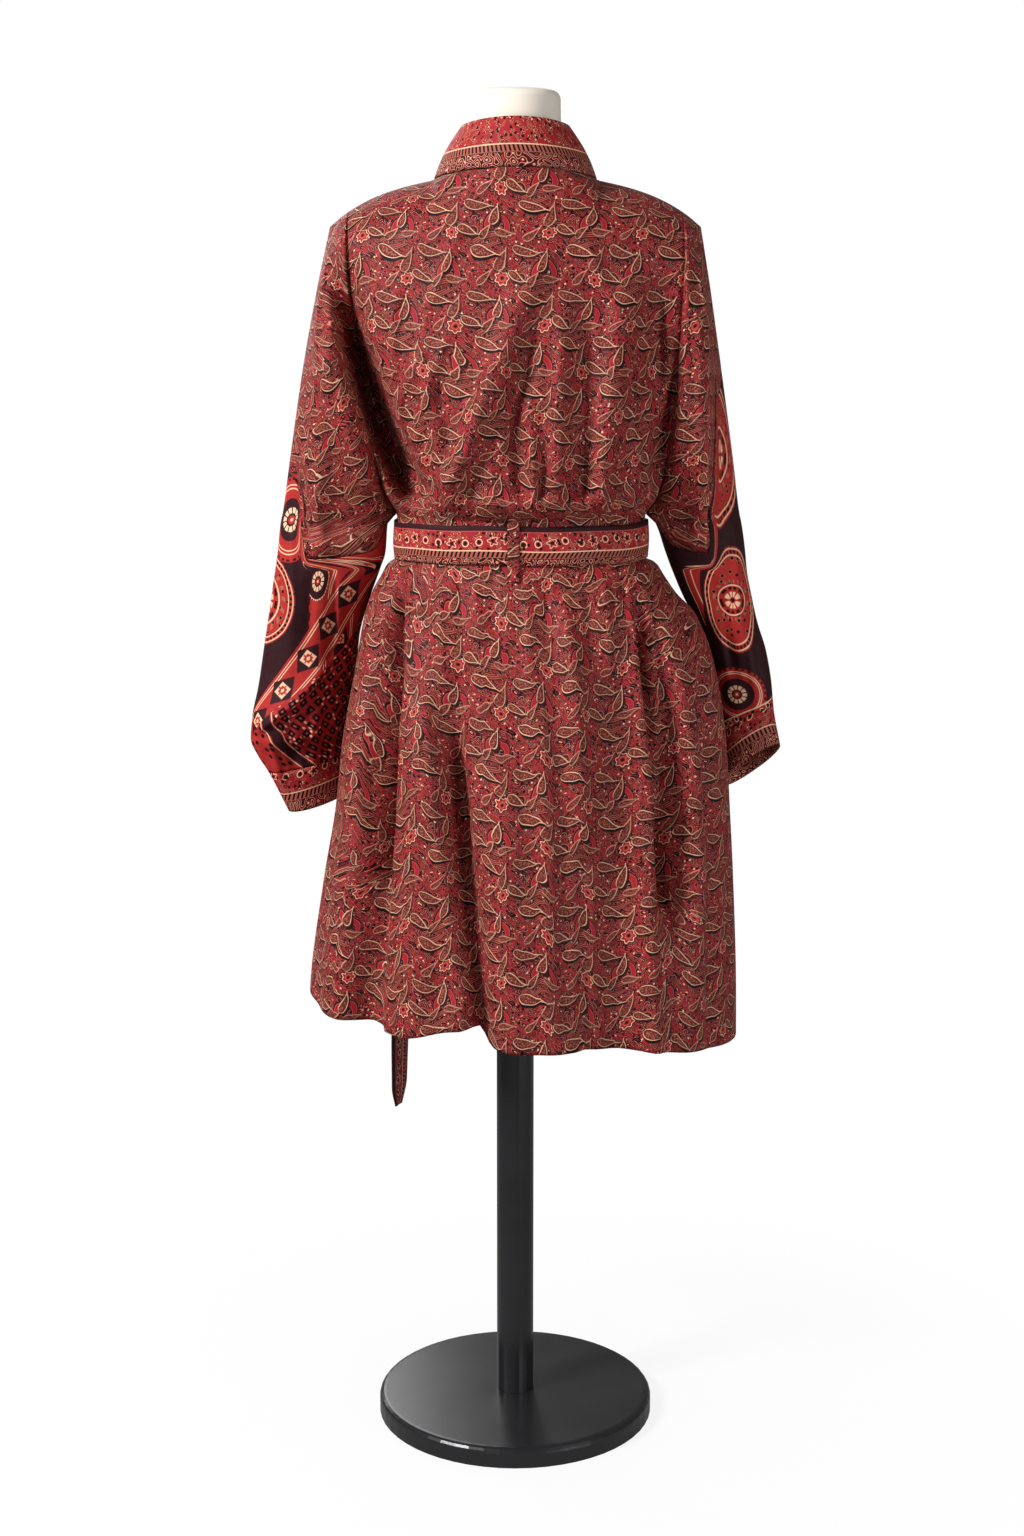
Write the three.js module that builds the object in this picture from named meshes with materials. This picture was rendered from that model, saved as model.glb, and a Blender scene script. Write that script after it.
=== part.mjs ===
// Kimono jacket with hanging batwing sleeves and a tied belt, on a dress form with a round foot.
// Units are millimetres. +Z is up, the front of the jacket faces -Y and its left sleeve is at +X.
// The origin is the centre of the foot's underside.
import * as THREE from 'three';

// ---------------------------------------------------------------- driving dimensions

const CLOTH = 1.6;              // wall of the printed cotton with its facing
const BAND_WALL = 2.2;          // neck band and belt are doubled
const SEAM_GAP = 0.4;           // between two pieces at a seam
const LAP_DROP = 5.5;           // how far the right front lies under the left one
const LAP_START = -142;         // x where the right front starts to dip
const LAP_FULL = -116;          // x where it lies fully under
const LAP_TOP = 1262;           // height where the two fronts part for the neck
const LAP_RUN = 40;             // height over which the lap eases in below that

const SHOULDER_Z = 1323;        // shoulder line beside the neck
const SHOULDER_FALL = 22;       // its straight fall to the sleeve's top
const SHOULDER_ROLL = 24;       // and how much more it rolls over at the end
const SHOULDER_END = 188;       // half width of the jacket at the shoulder line's end
const SHOULDER_ROUND = 60;      // height over which the cloth turns down from the shoulder line
const BODY_HALF = 168;          // half width of the body cloth along the shoulder line
const NECK_HALF = 82;           // half width of the neck opening
const NECK_BACK = 85;           // its depth behind the shoulder line
const NECK_FRONT = 50;          // depth of the chest under the neck opening
const NECK_RISE = 7;            // the nape stands this much over the shoulder line
const YOKE_Z = 1180;            // from here down the cloth's rows are level
const UNDERARM_Z = 988;         // top of the side seams
const SLEEVE_SEAM_Z = 930;      // level where the sleeve hangs free as a tube
const FOLD_FADE = { top: 0.3, low: 0.15, edge: 30, seam: 40 };  // where folds run out, shares and mm
const SIDE_HOLD = 12;           // how closely folds stay off the side seams of the skirt
const TURN = { top: 1000, run: 55 };  // below this height folds rise square to the waist's round

const BAND_WIDTH = 50;          // neck band, seam to free edge
const BAND_TILT = 20;           // degrees that the crossing band leans from upright
const COLLAR_TOP = { half: 54, back: 76, side: 18, z: 1379, fall: 5 };
const BAND_LEAN = { from: 1030, run: 60 };  // height where the band starts to lean
const BAND_TURN_Z = 1250;       // above this the band turns from the chest to the neck
const BAND_BEND = { x: 48, y: -60, z: 1330 };  // place that its free edge bends towards there
const BAND_LAST_Z = 1215;       // its last level row below the turn
const COLLAR_BOW = 3;           // how much the standing collar swells outwards
const EDGE_GAP = 1.5 * SEAM_GAP;  // between the band's seam and the cloth's edge

const BELT = { top: 981.5, middle: 962, low: 943, gap: 0.9, wall: 2.4, columns: 44 };
const KNOT = { x: 66, z: 961, half: 24, deep: 15, tall: 27, seat: 0.4, facing: 1.3, sides: 14 };
const TAIL = { off: 9, straight: 470 };  // distance off the cloth, and level where it hangs free
const LOOP = { x: 2, half: 6, top: 990, low: 928, wall: 1.2, seat: 1.8, over: 0.8, rise: 1.9 };

const FOOT = { radius: 150, thick: 22, edge: 7 };
const POLE_RADIUS = 20;
const NECK = { radius: 44.5, y: 15, capLow: 1395, capTop: 1408, edge: 8 };
const FORM_UNDER = 2.7;         // the form's shoulders lie this far under the cloth's outer face
const FORM_LOW = 640;           // underside of the form
const STAND_GAP = 0.3;          // between the pole and what it stands in
const SIDES = { form: 32, cap: 36, pole: 28, foot: 56 };  // facets round each turned solid

// ---------------------------------------------------------------- the jacket's outline by height

// left and right: side seam or underarm line; back and front: depth at the centre;
// lift: depth kept at the underarm line; round: 0 a soft arch across, 1 a full half round
const BODY = [
  { z: 1335, left: 168, right: 168, back: 87, front: 76, lift: 52, round: 0 },
  { z: 1260, left: 168, right: 168, back: 103, front: 96, lift: 60, round: 0 },
  { z: 1180, left: 163, right: 165, back: 112, front: 114, lift: 62, round: 0.1 },
  { z: 1100, left: 152, right: 160, back: 114, front: 122, lift: 54, round: 0.35 },
  { z: 1040, left: 141, right: 154, back: 113, front: 114, lift: 33, round: 0.7 },
  { z: 1005, left: 131, right: 146, back: 110, front: 103, lift: 12, round: 1 },
  { z: 988, left: 123, right: 135, back: 99, front: 93, lift: 1.9, round: 1 },
  { z: 985, left: 122.4, right: 134.4, back: 98.6, front: 92.6, lift: 0, round: 1 },
  { z: 943, left: 122.4, right: 134.4, back: 98.6, front: 92.6, lift: 0, round: 1 },
  { z: 925, left: 134, right: 141, back: 108, front: 100, lift: 0, round: 1 },
  { z: 884, left: 155, right: 187, back: 125, front: 112, lift: 0, round: 1 },
  { z: 825, left: 168, right: 210, back: 137, front: 122, lift: 0, round: 1 },
  { z: 750, left: 182, right: 222, back: 146, front: 130, lift: 0, round: 1 },
  { z: 680, left: 190, right: 227, back: 151, front: 135, lift: 0, round: 1 },
  { z: 600, left: 204, right: 232, back: 157, front: 140, lift: 0, round: 1 },
  { z: 485, left: 220, right: 237, back: 164, front: 146, lift: 0, round: 1 },
  { z: 420, left: 223, right: 238, back: 166, front: 148, lift: 0, round: 1 },
];

// a sleeve's sections by level: outer and inner fold line (z, x, y) and how deep it is filled out
const SLEEVE = {
  left: [
    { z: 1277, outZ: 1277, outX: 188, outY: 0, inZ: 1277, inX: 168, inY: 0, back: 19, front: 19 },
    { z: 1224, outZ: 1224, outX: 200, outY: 0, inZ: 1224, inX: 166, inY: 0, back: 24, front: 24 },
    { z: 1134, outZ: 1134, outX: 218, outY: 0, inZ: 1134, inX: 157, inY: 0, back: 30, front: 30 },
    { z: 1040, outZ: 1040, outX: 233, outY: 0, inZ: 1040, inX: 141, inY: 0, back: 34, front: 34 },
    { z: 988, outZ: 988, outX: 241, outY: 0, inZ: 988, inX: 123, inY: 0, back: 36, front: 36 },
    { z: 980, outZ: 980, outX: 243, outY: 0, inZ: 980, inX: 132, inY: -1, back: 36, front: 36 },
    { z: 948, outZ: 948, outX: 247, outY: -1, inZ: 948, inX: 135, inY: -2, back: 36, front: 35 },
    { z: 930, outZ: 930, outX: 250, outY: -2, inZ: 930, inX: 141, inY: -7, back: 36, front: 34 },
    { z: 895, outZ: 895, outX: 256, outY: -6, inZ: 896, inX: 154, inY: -23, back: 36, front: 33 },
    { z: 850, outZ: 850, outX: 263, outY: -9, inZ: 855, inX: 167, inY: -43, back: 37, front: 32 },
    { z: 805, outZ: 805, outX: 270, outY: -10, inZ: 815, inX: 172, inY: -57, back: 38, front: 30 },
    { z: 772, outZ: 772, outX: 277, outY: -10, inZ: 785, inX: 176, inY: -67, back: 41, front: 28 },
    { z: 748, outZ: 748, outX: 279, outY: -10, inZ: 762, inX: 179, inY: -69, back: 37, front: 27 },
    { z: 732, outZ: 732, outX: 273, outY: -12, inZ: 748, inX: 180, inY: -70, back: 26, front: 25 },
    { z: 712, outZ: 712, outX: 261, outY: -14, inZ: 728, inX: 181, inY: -70, back: 21, front: 23 },
    { z: 669, outZ: 669, outX: 240, outY: -18, inZ: 686, inX: 183, inY: -70, back: 20, front: 21 },
  ],
  right: [
    { z: 1277, outZ: 1277, outX: 188, outY: 0, inZ: 1277, inX: 168, inY: 0, back: 19, front: 19 },
    { z: 1224, outZ: 1224, outX: 197, outY: 0, inZ: 1224, inX: 167, inY: 0, back: 23, front: 23 },
    { z: 1134, outZ: 1134, outX: 211, outY: 0, inZ: 1134, inX: 162, inY: 0, back: 27, front: 27 },
    { z: 1040, outZ: 1040, outX: 225, outY: 0, inZ: 1040, inX: 154, inY: 0, back: 30, front: 30 },
    { z: 988, outZ: 988, outX: 232, outY: 0, inZ: 988, inX: 135, inY: 0, back: 31, front: 31 },
    { z: 980, outZ: 980, outX: 234, outY: 0, inZ: 980, inX: 144, inY: -1, back: 31, front: 31 },
    { z: 948, outZ: 948, outX: 239, outY: -1, inZ: 948, inX: 156, inY: -3, back: 30, front: 30 },
    { z: 930, outZ: 930, outX: 241, outY: -2, inZ: 930, inX: 163, inY: -8, back: 29, front: 29 },
    { z: 900, outZ: 900, outX: 247, outY: -6, inZ: 898, inX: 178, inY: -25, back: 27, front: 27 },
    { z: 870, outZ: 870, outX: 253, outY: -8, inZ: 862, inX: 200, inY: -38, back: 26, front: 25 },
    { z: 845, outZ: 845, outX: 260, outY: -9, inZ: 828, inX: 211, inY: -47, back: 26, front: 25 },
    { z: 815, outZ: 815, outX: 265, outY: -10, inZ: 785, inX: 219, inY: -55, back: 26, front: 25 },
    { z: 783, outZ: 783, outX: 268, outY: -10, inZ: 737, inX: 225, inY: -61, back: 25, front: 24 },
    { z: 743, outZ: 743, outX: 277, outY: -12, inZ: 689, inX: 228, inY: -64, back: 25, front: 24 },
  ],
};

// height of the seam between body cloth and border cloth round a sleeve: turn 0 is the underarm,
// 1 the outer fold line, and the seam climbs onto the outer strip behind the sleeve's long fold
const SLEEVE_SEAM = {
  left: [
    { turn: 0, z: 988 },
    { turn: 0.22, z: 952 },
    { turn: 0.62, z: 944 },
    { turn: 0.78, z: 1022 },
    { turn: 1, z: 1034 },
  ],
  right: [
    { turn: 0, z: 988 },
    { turn: 0.22, z: 956 },
    { turn: 0.5, z: 950 },
    { turn: 0.72, z: 1108 },
    { turn: 1, z: 1136 },
  ],
};

// hem height by x, from the right side seam to the left one
const HEM = {
  back: [
    { x: -240, z: 432 },
    { x: -170, z: 444 },
    { x: -60, z: 458 },
    { x: 24, z: 461 },
    { x: 42, z: 481 },
    { x: 120, z: 469 },
    { x: 224, z: 481 },
  ],
  front: [
    { x: -240, z: 432 },
    { x: -110, z: 452 },
    { x: 30, z: 466 },
    { x: 140, z: 470 },
    { x: 224, z: 481 },
  ],
};

// front edges, where the band is sewn on: x of the left front's edge by height
const FRONT_EDGE = [
  { z: 1323, x: 82 },
  { z: 1290, x: 77 },
  { z: 1250, x: 67 },
  { z: 1200, x: 51 },
  { z: 1100, x: 14 },
  { z: 1000, x: -22 },
  { z: 962, x: -31 },
  { z: 880, x: -38 },
  { z: 420, x: -50 },
];

// ---------------------------------------------------------------- folds

// each fold runs down the cloth through three x places at its top, middle and low end.
// half: half width at the top and low end; rise: height of a ridge, or depth of a trough if below 0
const BACK_FOLDS = [
  // the deep fold between body and left sleeve, and the sleeve's bulge beside it
  { top: 1262, low: 989, x: [180, 148, 86], half: [20, 27], rise: -44 },
  { top: 1200, low: 989, x: [196, 176, 124], half: [22, 30], rise: 12 },
  // long folds where the outer strip of each sleeve turns away
  { top: 1200, low: 905, x: [184, 196, 201], half: [12, 16], rise: 6 },
  { top: 1270, low: 905, x: [-184, -188, -194], half: [11, 15], rise: 7 },
  // folds from the nape and the right shoulder down to the belt
  { top: 1275, low: 989, x: [-36, 16, 84], half: [24, 24], rise: 8 },
  { top: 1240, low: 989, x: [-30, -4, -10], half: [20, 15], rise: -7 },
  { top: 1215, low: 989, x: [-46, -42, -32], half: [13, 11], rise: 5 },
  { top: 1215, low: 989, x: [-66, -66, -58], half: [16, 15], rise: -7 },
  { top: 1250, low: 989, x: [-112, -98, -84], half: [22, 18], rise: 8 },
  { top: 1245, low: 989, x: [-142, -138, -124], half: [18, 30], rise: -16 },
  { top: 1016, low: 988, x: [0, 0, 0], half: [110, 120], rise: 7 },
  // the skirt: the tube at the left and the deep fold beside it
  { top: 935, low: 330, x: [127, 144, 166], half: [14, 27], rise: -27 },
  { top: 935, low: 330, x: [144, 172, 200], half: [15, 30], rise: 8 },
  // middle of the skirt
  { top: 925, low: 330, x: [92, 102, 100], half: [26, 34], rise: 8 },
  { top: 800, low: 400, x: [80, 58, 40], half: [13, 22], rise: -11 },
  { top: 790, low: 330, x: [24, -4, -20], half: [24, 52], rise: 9 },
  { top: 915, low: 640, x: [-52, -62, -74], half: [15, 18], rise: 8 },
  { top: 925, low: 330, x: [-98, -104, -112], half: [26, 36], rise: -10 },
  // the right of the skirt: deep fold from the belt, and a narrow one near the side
  { top: 942, low: 560, x: [-118, -158, -168], half: [15, 17], rise: -24 },
  { top: 900, low: 400, x: [-160, -180, -176], half: [15, 26], rise: 7 },
  { top: 850, low: 660, x: [-182, -194, -198], half: [9, 10], rise: -7 },
];

const FRONT_FOLDS = [
  { top: 1262, low: 989, x: [178, 150, 100], half: [20, 28], rise: -36 },
  { top: 1245, low: 989, x: [-176, -152, -112], half: [20, 28], rise: -30 },
  { top: 1240, low: 989, x: [122, 104, 66], half: [18, 22], rise: 8 },
  { top: 1235, low: 989, x: [-118, -100, -66], half: [18, 22], rise: 8 },
  { top: 1016, low: 988, x: [0, 0, 0], half: [110, 120], rise: 6 },
  { top: 935, low: 330, x: [108, 128, 140], half: [16, 28], rise: -18 },
  { top: 935, low: 330, x: [62, 74, 84], half: [22, 32], rise: 9 },
  { top: 915, low: 330, x: [24, 26, 30], half: [15, 24], rise: -8 },
  { top: 935, low: 330, x: [-96, -112, -124], half: [20, 30], rise: 9 },
  { top: 935, low: 330, x: [-126, -156, -170], half: [15, 24], rise: -18 },
];

// ---------------------------------------------------------------- the form under the cloth

const FORM = [
  { z: 640, half: 112, back: 74, front: 70, y: 0 },
  { z: 646, half: 122, back: 82, front: 77, y: 0 },
  { z: 665, half: 133, back: 90, front: 83, y: 0 },
  { z: 705, half: 142, back: 96, front: 88, y: 0 },
  { z: 760, half: 145, back: 99, front: 90, y: 0 },
  { z: 820, half: 139, back: 97, front: 88, y: 0 },
  { z: 880, half: 124, back: 90, front: 83, y: 0 },
  { z: 925, half: 113, back: 84, front: 78, y: 0 },
  { z: 962, half: 109, back: 82, front: 77, y: 0 },
  { z: 1010, half: 113, back: 85, front: 82, y: 0 },
  { z: 1060, half: 121, back: 89, front: 93, y: 0 },
  { z: 1110, half: 129, back: 92, front: 104, y: 0 },
  { z: 1150, half: 135, back: 93, front: 107, y: 0 },
  { z: 1190, half: 142, back: 93, front: 98, y: 0 },
  { z: 1230, half: 150, back: 90, front: 84, y: 0 },
  { z: 1260, half: 157, back: 80, front: 68, y: 0 },
  { z: 1280, half: 158, back: 64, front: 54, y: 0 },
];
// above the last row the half width follows the shoulder line; these give the depths there
const FORM_SHOULDER = [
  { half: 154, back: 48, front: 42, y: 0 },
  { half: 140, back: 43, front: 38, y: 0 },
  { half: 120, back: 41, front: 35, y: 0 },
  { half: 100, back: 37, front: 33, y: 1 },
  { half: 84, back: 27, front: 29, y: 2 },
];
const FORM_NECK = [
  { z: 1329, half: 63, back: 45, front: 38, y: 8 },
  { z: 1338, half: 53, back: 45, front: 43, y: 12 },
  { z: 1352, half: 47, back: 45, front: 45, y: 15 },
  { z: 1372, half: 45, back: 44.5, front: 44.5, y: 15 },
  { z: 1394.6, half: 44.5, back: 44.5, front: 44.5, y: 15 },
];

// ---------------------------------------------------------------- finishes

function finish(colour, roughness, metalness) {
  return new THREE.MeshStandardMaterial({ color: colour, roughness, metalness });
}

const PAISLEY = finish(0x82413a, 0.6, 0);
const BORDER = finish(0xb8453f, 0.55, 0);
const JERSEY = finish(0xebe1d4, 0.85, 0);
const BLACK_PAINT = finish(0x232326, 0.45, 0.2);

// ---------------------------------------------------------------- numbers

const mix = (a, b, t) => a + (b - a) * t;
const clamp = (value, low, high) => Math.min(high, Math.max(low, value));

function smooth(value) {
  const t = clamp(value, 0, 1);
  return t * t * (3 - 2 * t);
}

// reads a table at a place along its key column, with a soft curve through the rows
function along(table, key, place) {
  const rising = table[1][key] > table[0][key];
  const last = table.length - 1;
  let i = 0;
  while (i < last - 1 && (rising ? place > table[i + 1][key] : place < table[i + 1][key])) i += 1;
  const a = table[i];
  const b = table[i + 1];
  const before = table[Math.max(0, i - 1)];
  const after = table[Math.min(last, i + 2)];
  const t = clamp((place - a[key]) / (b[key] - a[key]), 0, 1);
  const span = b[key] - a[key];
  const row = {};
  for (const name of Object.keys(a)) {
    const slopeA = slope(before, a, b, key, name) * span;
    const slopeB = slope(a, b, after, key, name) * span;
    const t2 = t * t;
    const t3 = t2 * t;
    row[name] = (2 * t3 - 3 * t2 + 1) * a[name] + (t3 - 2 * t2 + t) * slopeA
      + (3 * t2 - 2 * t3) * b[name] + (t3 - t2) * slopeB;
  }
  row[key] = place;
  return row;
}

// slope of a column at the middle of three rows, held to zero at a turning point
function slope(before, row, after, key, name) {
  if (before === row || after === row) {
    const ends = before === row ? [row, after] : [before, row];
    return (ends[1][name] - ends[0][name]) / (ends[1][key] - ends[0][key]);
  }
  const low = (row[name] - before[name]) / (row[key] - before[key]);
  const high = (after[name] - row[name]) / (after[key] - row[key]);
  if (low * high <= 0) return 0;
  return (2 * low * high) / (low + high);
}

// ---------------------------------------------------------------- the cloth's surface

function shoulderZ(x) {
  const t = Math.max(0, (Math.abs(x) - NECK_HALF) / (SHOULDER_END - NECK_HALF));
  return SHOULDER_Z - SHOULDER_FALL * t - SHOULDER_ROLL * t ** 3;
}

// top edge of the back (face 1) or a front (face -1): its height and depth at x
function topEdge(face, x) {
  const across = Math.abs(x) / NECK_HALF;
  if (across >= 1) return { z: shoulderZ(x), y: 0 };
  const arch = Math.sqrt(1 - across * across);
  if (face > 0) return { z: SHOULDER_Z + NECK_RISE * arch * arch, y: NECK_BACK * arch };
  return { z: SHOULDER_Z, y: NECK_FRONT * arch };
}

function foldRise(folds, x, z) {
  let sum = 0;
  for (const fold of folds) {
    const s = (fold.top - z) / (fold.top - fold.low);
    if (s <= 0 || s >= 1) continue;
    const [xTop, xMid, xLow] = fold.x;
    const centre = xTop + s * (4 * xMid - 3 * xTop - xLow) + 2 * s * s * (xTop + xLow - 2 * xMid);
    const u = (x - centre) / mix(fold.half[0], fold.half[1], s);
    if (Math.abs(u) >= 1) continue;
    const ends = smooth(s / FOLD_FADE.top) * smooth((1 - s) / FOLD_FADE.low);
    sum += fold.rise * (1 - u * u) ** 2 * ends;
  }
  return sum;
}

// turns a drop below the top edge into how far the cloth has come out to its full depth
function shoulderRound(drop) {
  const t = clamp(drop / SHOULDER_ROUND, 0, 1);
  return Math.sqrt(1 - (1 - t) ** 2);
}

// a point of the body cloth between the side seams, at x and z
function bodyPoint(face, x, z) {
  const row = along(BODY, 'z', z);
  const reach = x >= 0 ? row.left : row.right;
  const a = Math.min(1, Math.abs(x) / reach);
  const depth = face > 0 ? row.back : row.front;
  const arch = mix(Math.cos(a * Math.PI / 2), Math.sqrt(1 - a * a), row.round);
  const full = row.lift + (depth - row.lift) * arch;
  const top = topEdge(face, x);
  const y = top.y + (full - top.y) * shoulderRound(top.z - z);
  const folds = face > 0 ? BACK_FOLDS : FRONT_FOLDS;
  const atSide = z > UNDERARM_Z ? 1 : 1 - a ** SIDE_HOLD;
  const nearTop = smooth((top.z - z) / FOLD_FADE.edge);
  const rise = foldRise(folds, x, z) * atSide * nearTop;
  const radial = smooth((TURN.top - z) / TURN.run);
  const nx = radial * x / reach ** 2;
  const ny = mix(1 / depth, y / depth ** 2, radial);
  const length = Math.hypot(nx, ny);
  return new THREE.Vector3(x + rise * nx / length, face * (y + rise * ny / length), z);
}

// a point round a sleeve: turn 0 is its underarm or inner fold line, 1 the outer one
function sleevePoint(side, face, turn, level) {
  const row = along(SLEEVE[side], 'z', Math.min(level, SLEEVE[side][0].z));
  const body = along(BODY, 'z', level);
  const hangs = level < UNDERARM_Z;
  const inX = hangs ? row.inX : body[side];
  const lift = hangs ? 0 : body.lift;
  const way = (1 - Math.cos(Math.PI * turn)) / 2;
  const run = new THREE.Vector2(row.outX - inX, row.outY - row.inY);
  const filled = (face > 0 ? row.back : row.front) * Math.sin(Math.PI * turn);
  const across = run.clone().normalize();
  const out = filled + lift * (1 - way);
  const x = mix(inX, row.outX, way) - face * out * across.y;
  const y = mix(row.inY, row.outY, way) + face * out * across.x;
  const z = mix(row.inZ, row.outZ, way) + (level > SLEEVE[side][0].z ? level - SLEEVE[side][0].z : 0);
  const sign = side === 'left' ? 1 : -1;
  const folds = face > 0 ? BACK_FOLDS : FRONT_FOLDS;
  const atFold = Math.sin(Math.PI * Math.min(0.5, 1 - turn)) ** 0.5;
  const top = topEdge(face, x);
  const fade = smooth((level - SLEEVE_SEAM_Z) / FOLD_FADE.seam) * smooth((top.z - z) / FOLD_FADE.edge);
  const rise = foldRise(folds, sign * x, z) * atFold * fade;
  const depth = hangs ? y + face * rise : (y + face * rise) * shoulderRound(top.z - z);
  return new THREE.Vector3(sign * x, depth, z);
}

function sleeveSeamZ(side, turn) {
  return along(SLEEVE_SEAM[side], 'turn', turn).z;
}

// ---------------------------------------------------------------- closed meshes

class Solid {
  constructor() {
    this.points = [];
    this.faces = [];
  }

  add(point) {
    this.points.push(point.x, point.y, point.z);
    return this.points.length / 3 - 1;
  }

  quad(a, b, c, d) {
    this.faces.push(a, b, c, a, c, d);
  }

  mesh(name, material) {
    const geometry = new THREE.BufferGeometry();
    geometry.setAttribute('position', new THREE.Float32BufferAttribute(this.points, 3));
    geometry.setIndex(this.faces);
    geometry.computeVertexNormals();
    const mesh = new THREE.Mesh(geometry, material);
    mesh.name = name;
    return mesh;
  }
}

// a wall behind a grid of points. grid[row][column] is a point or null, and a cell is cloth where
// its four corners are points. closed joins the last column to the first. flip turns the face over.
// keep names the side of the seam plane y = 0 that the wall stays on, 1 behind it and -1 before it
function wallFromGrid(grid, thickness, { closed = false, flip = false, keep = 0 } = {}) {
  const rows = grid.length;
  const columns = grid[0].length;
  const next = (c) => (closed ? (c + 1) % columns : c + 1);
  const lastCell = closed ? columns : columns - 1;
  const isCell = (r, c) => r >= 0 && r < rows - 1 && c >= 0 && c < lastCell
    && grid[r][c] && grid[r][next(c)] && grid[r + 1][c] && grid[r + 1][next(c)];
  const normals = grid.map((row) => row.map(() => new THREE.Vector3()));
  for (let r = 0; r < rows - 1; r += 1) {
    for (let c = 0; c < lastCell; c += 1) {
      if (!isCell(r, c)) continue;
      const corners = [[r, c], [r, next(c)], [r + 1, next(c)], [r + 1, c]];
      const [p, q, s, t] = corners.map(([i, j]) => grid[i][j]);
      const normal = t.clone().sub(q).cross(s.clone().sub(p)).normalize();
      if (flip) normal.negate();
      for (const [i, j] of corners) normals[i][j].add(normal);
    }
  }
  const solid = new Solid();
  const outer = grid.map((row) => row.map(() => -1));
  const inner = grid.map((row) => row.map(() => -1));
  for (let r = 0; r < rows; r += 1) {
    for (let c = 0; c < columns; c += 1) {
      if (normals[r][c].lengthSq() === 0) continue;
      outer[r][c] = solid.add(grid[r][c]);
      const back = normals[r][c].normalize().multiplyScalar(-thickness);
      const under = grid[r][c].clone().add(back);
      if (keep) under.y = keep * Math.max(keep * under.y, SEAM_GAP / 2);
      inner[r][c] = solid.add(under);
    }
  }
  const side = (a, b, c, d) => (flip ? solid.quad(d, c, b, a) : solid.quad(a, b, c, d));
  for (let r = 0; r < rows - 1; r += 1) {
    for (let c = 0; c < lastCell; c += 1) {
      if (!isCell(r, c)) continue;
      const d = next(c);
      const before = closed ? (c + columns - 1) % columns : c - 1;
      const after = closed ? (c + 1) % columns : c + 1;
      side(outer[r][c], outer[r + 1][c], outer[r + 1][d], outer[r][d]);
      side(inner[r][c], inner[r][d], inner[r + 1][d], inner[r + 1][c]);
      if (!isCell(r - 1, c)) side(outer[r][d], inner[r][d], inner[r][c], outer[r][c]);
      if (!isCell(r + 1, c)) side(outer[r + 1][c], inner[r + 1][c], inner[r + 1][d], outer[r + 1][d]);
      if (!isCell(r, before)) side(outer[r][c], inner[r][c], inner[r + 1][c], outer[r + 1][c]);
      if (!isCell(r, after)) side(outer[r + 1][d], inner[r + 1][d], inner[r][d], outer[r][d]);
    }
  }
  return solid;
}

// a closed loft through level rings with the same number of points, capped at both ends
function loft(rings) {
  const solid = new Solid();
  const count = rings[0].length;
  const index = rings.map((ring) => ring.map((point) => solid.add(point)));
  for (let r = 0; r < rings.length - 1; r += 1) {
    for (let i = 0; i < count; i += 1) {
      const j = (i + 1) % count;
      solid.quad(index[r][i], index[r][j], index[r + 1][j], index[r + 1][i]);
    }
  }
  for (const [ring, ids, up] of [[rings[0], index[0], false], [rings.at(-1), index.at(-1), true]]) {
    const centre = ring.reduce((sum, p) => sum.add(p), new THREE.Vector3()).divideScalar(count);
    const hub = solid.add(centre);
    for (let i = 0; i < count; i += 1) {
      const j = (i + 1) % count;
      if (up) solid.faces.push(hub, ids[i], ids[j]);
      else solid.faces.push(hub, ids[j], ids[i]);
    }
  }
  return solid;
}

// ---------------------------------------------------------------- body cloth

// columns over the body from the centre to the underarm line, as shares of the half width
const HALF_COLUMNS = [0, 0.12, 0.24, 0.36, NECK_HALF / BODY_HALF, 0.58, 0.67, 0.76, 0.84, 0.91, 0.965, 1];
const SLEEVE_TURNS = [0.08, 0.18, 0.3, 0.42, 0.54, 0.66, 0.78, 0.9, 1];
const YOKE_ROWS = [0, 0.015, 0.06, 0.15, 0.3, 0.6, 1];
const UPPER_ROWS = [0.14, 0.28, 0.42, 0.56, 0.7, 0.85, 1];
const LOWER_LEVELS = [985, 963, 943, 928, 908, 884, 852, 815, 775, 730, 685, 640, 590, 540];
const HEM_ROWS = [0.5, 1];
const FRONT_CELLS = 13;

// the height of a row above the underarm, for a column that starts at top and ends at low
function upperLevels(top, low) {
  const yoke = YOKE_ROWS.map((share) => mix(top, YOKE_Z, share));
  return [...yoke, ...UPPER_ROWS.map((share) => mix(YOKE_Z, low, share))];
}

function sleeveColumn(side, face, turn) {
  const startX = mix(BODY_HALF, SHOULDER_END, (1 - Math.cos(Math.PI * turn)) / 2);
  const top = shoulderZ(startX);
  const levels = upperLevels(top, sleeveSeamZ(side, turn));
  const column = levels.map((level) => sleevePoint(side, face, turn, level));
  const half = face * SEAM_GAP / 2;
  column[0].y = half;
  if (turn === 1) for (const point of column) point.y = half;
  return [...column, ...LOWER_LEVELS.map(() => null), ...HEM_ROWS.map(() => null)];
}

function hemLevels(face, x) {
  const low = along(face > 0 ? HEM.back : HEM.front, 'x', x).z;
  return [...LOWER_LEVELS, ...HEM_ROWS.map((share) => mix(LOWER_LEVELS.at(-1), low, share))];
}

function backColumn(sign, share) {
  const startX = sign * share * BODY_HALF;
  const levels = upperLevels(topEdge(1, startX).z, UNDERARM_Z);
  const side = sign > 0 ? 'left' : 'right';
  const endX = sign * share * along(BODY, 'z', LOWER_LEVELS.at(-1))[side];
  const all = [...levels, ...hemLevels(1, endX)];
  return all.map((level) => {
    const x = sign * share * along(BODY, 'z', level)[side];
    const point = bodyPoint(1, x, level);
    if (share === 1 || level > shoulderZ(startX) - 0.01) point.y = Math.max(point.y, SEAM_GAP / 2);
    return point;
  });
}

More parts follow.
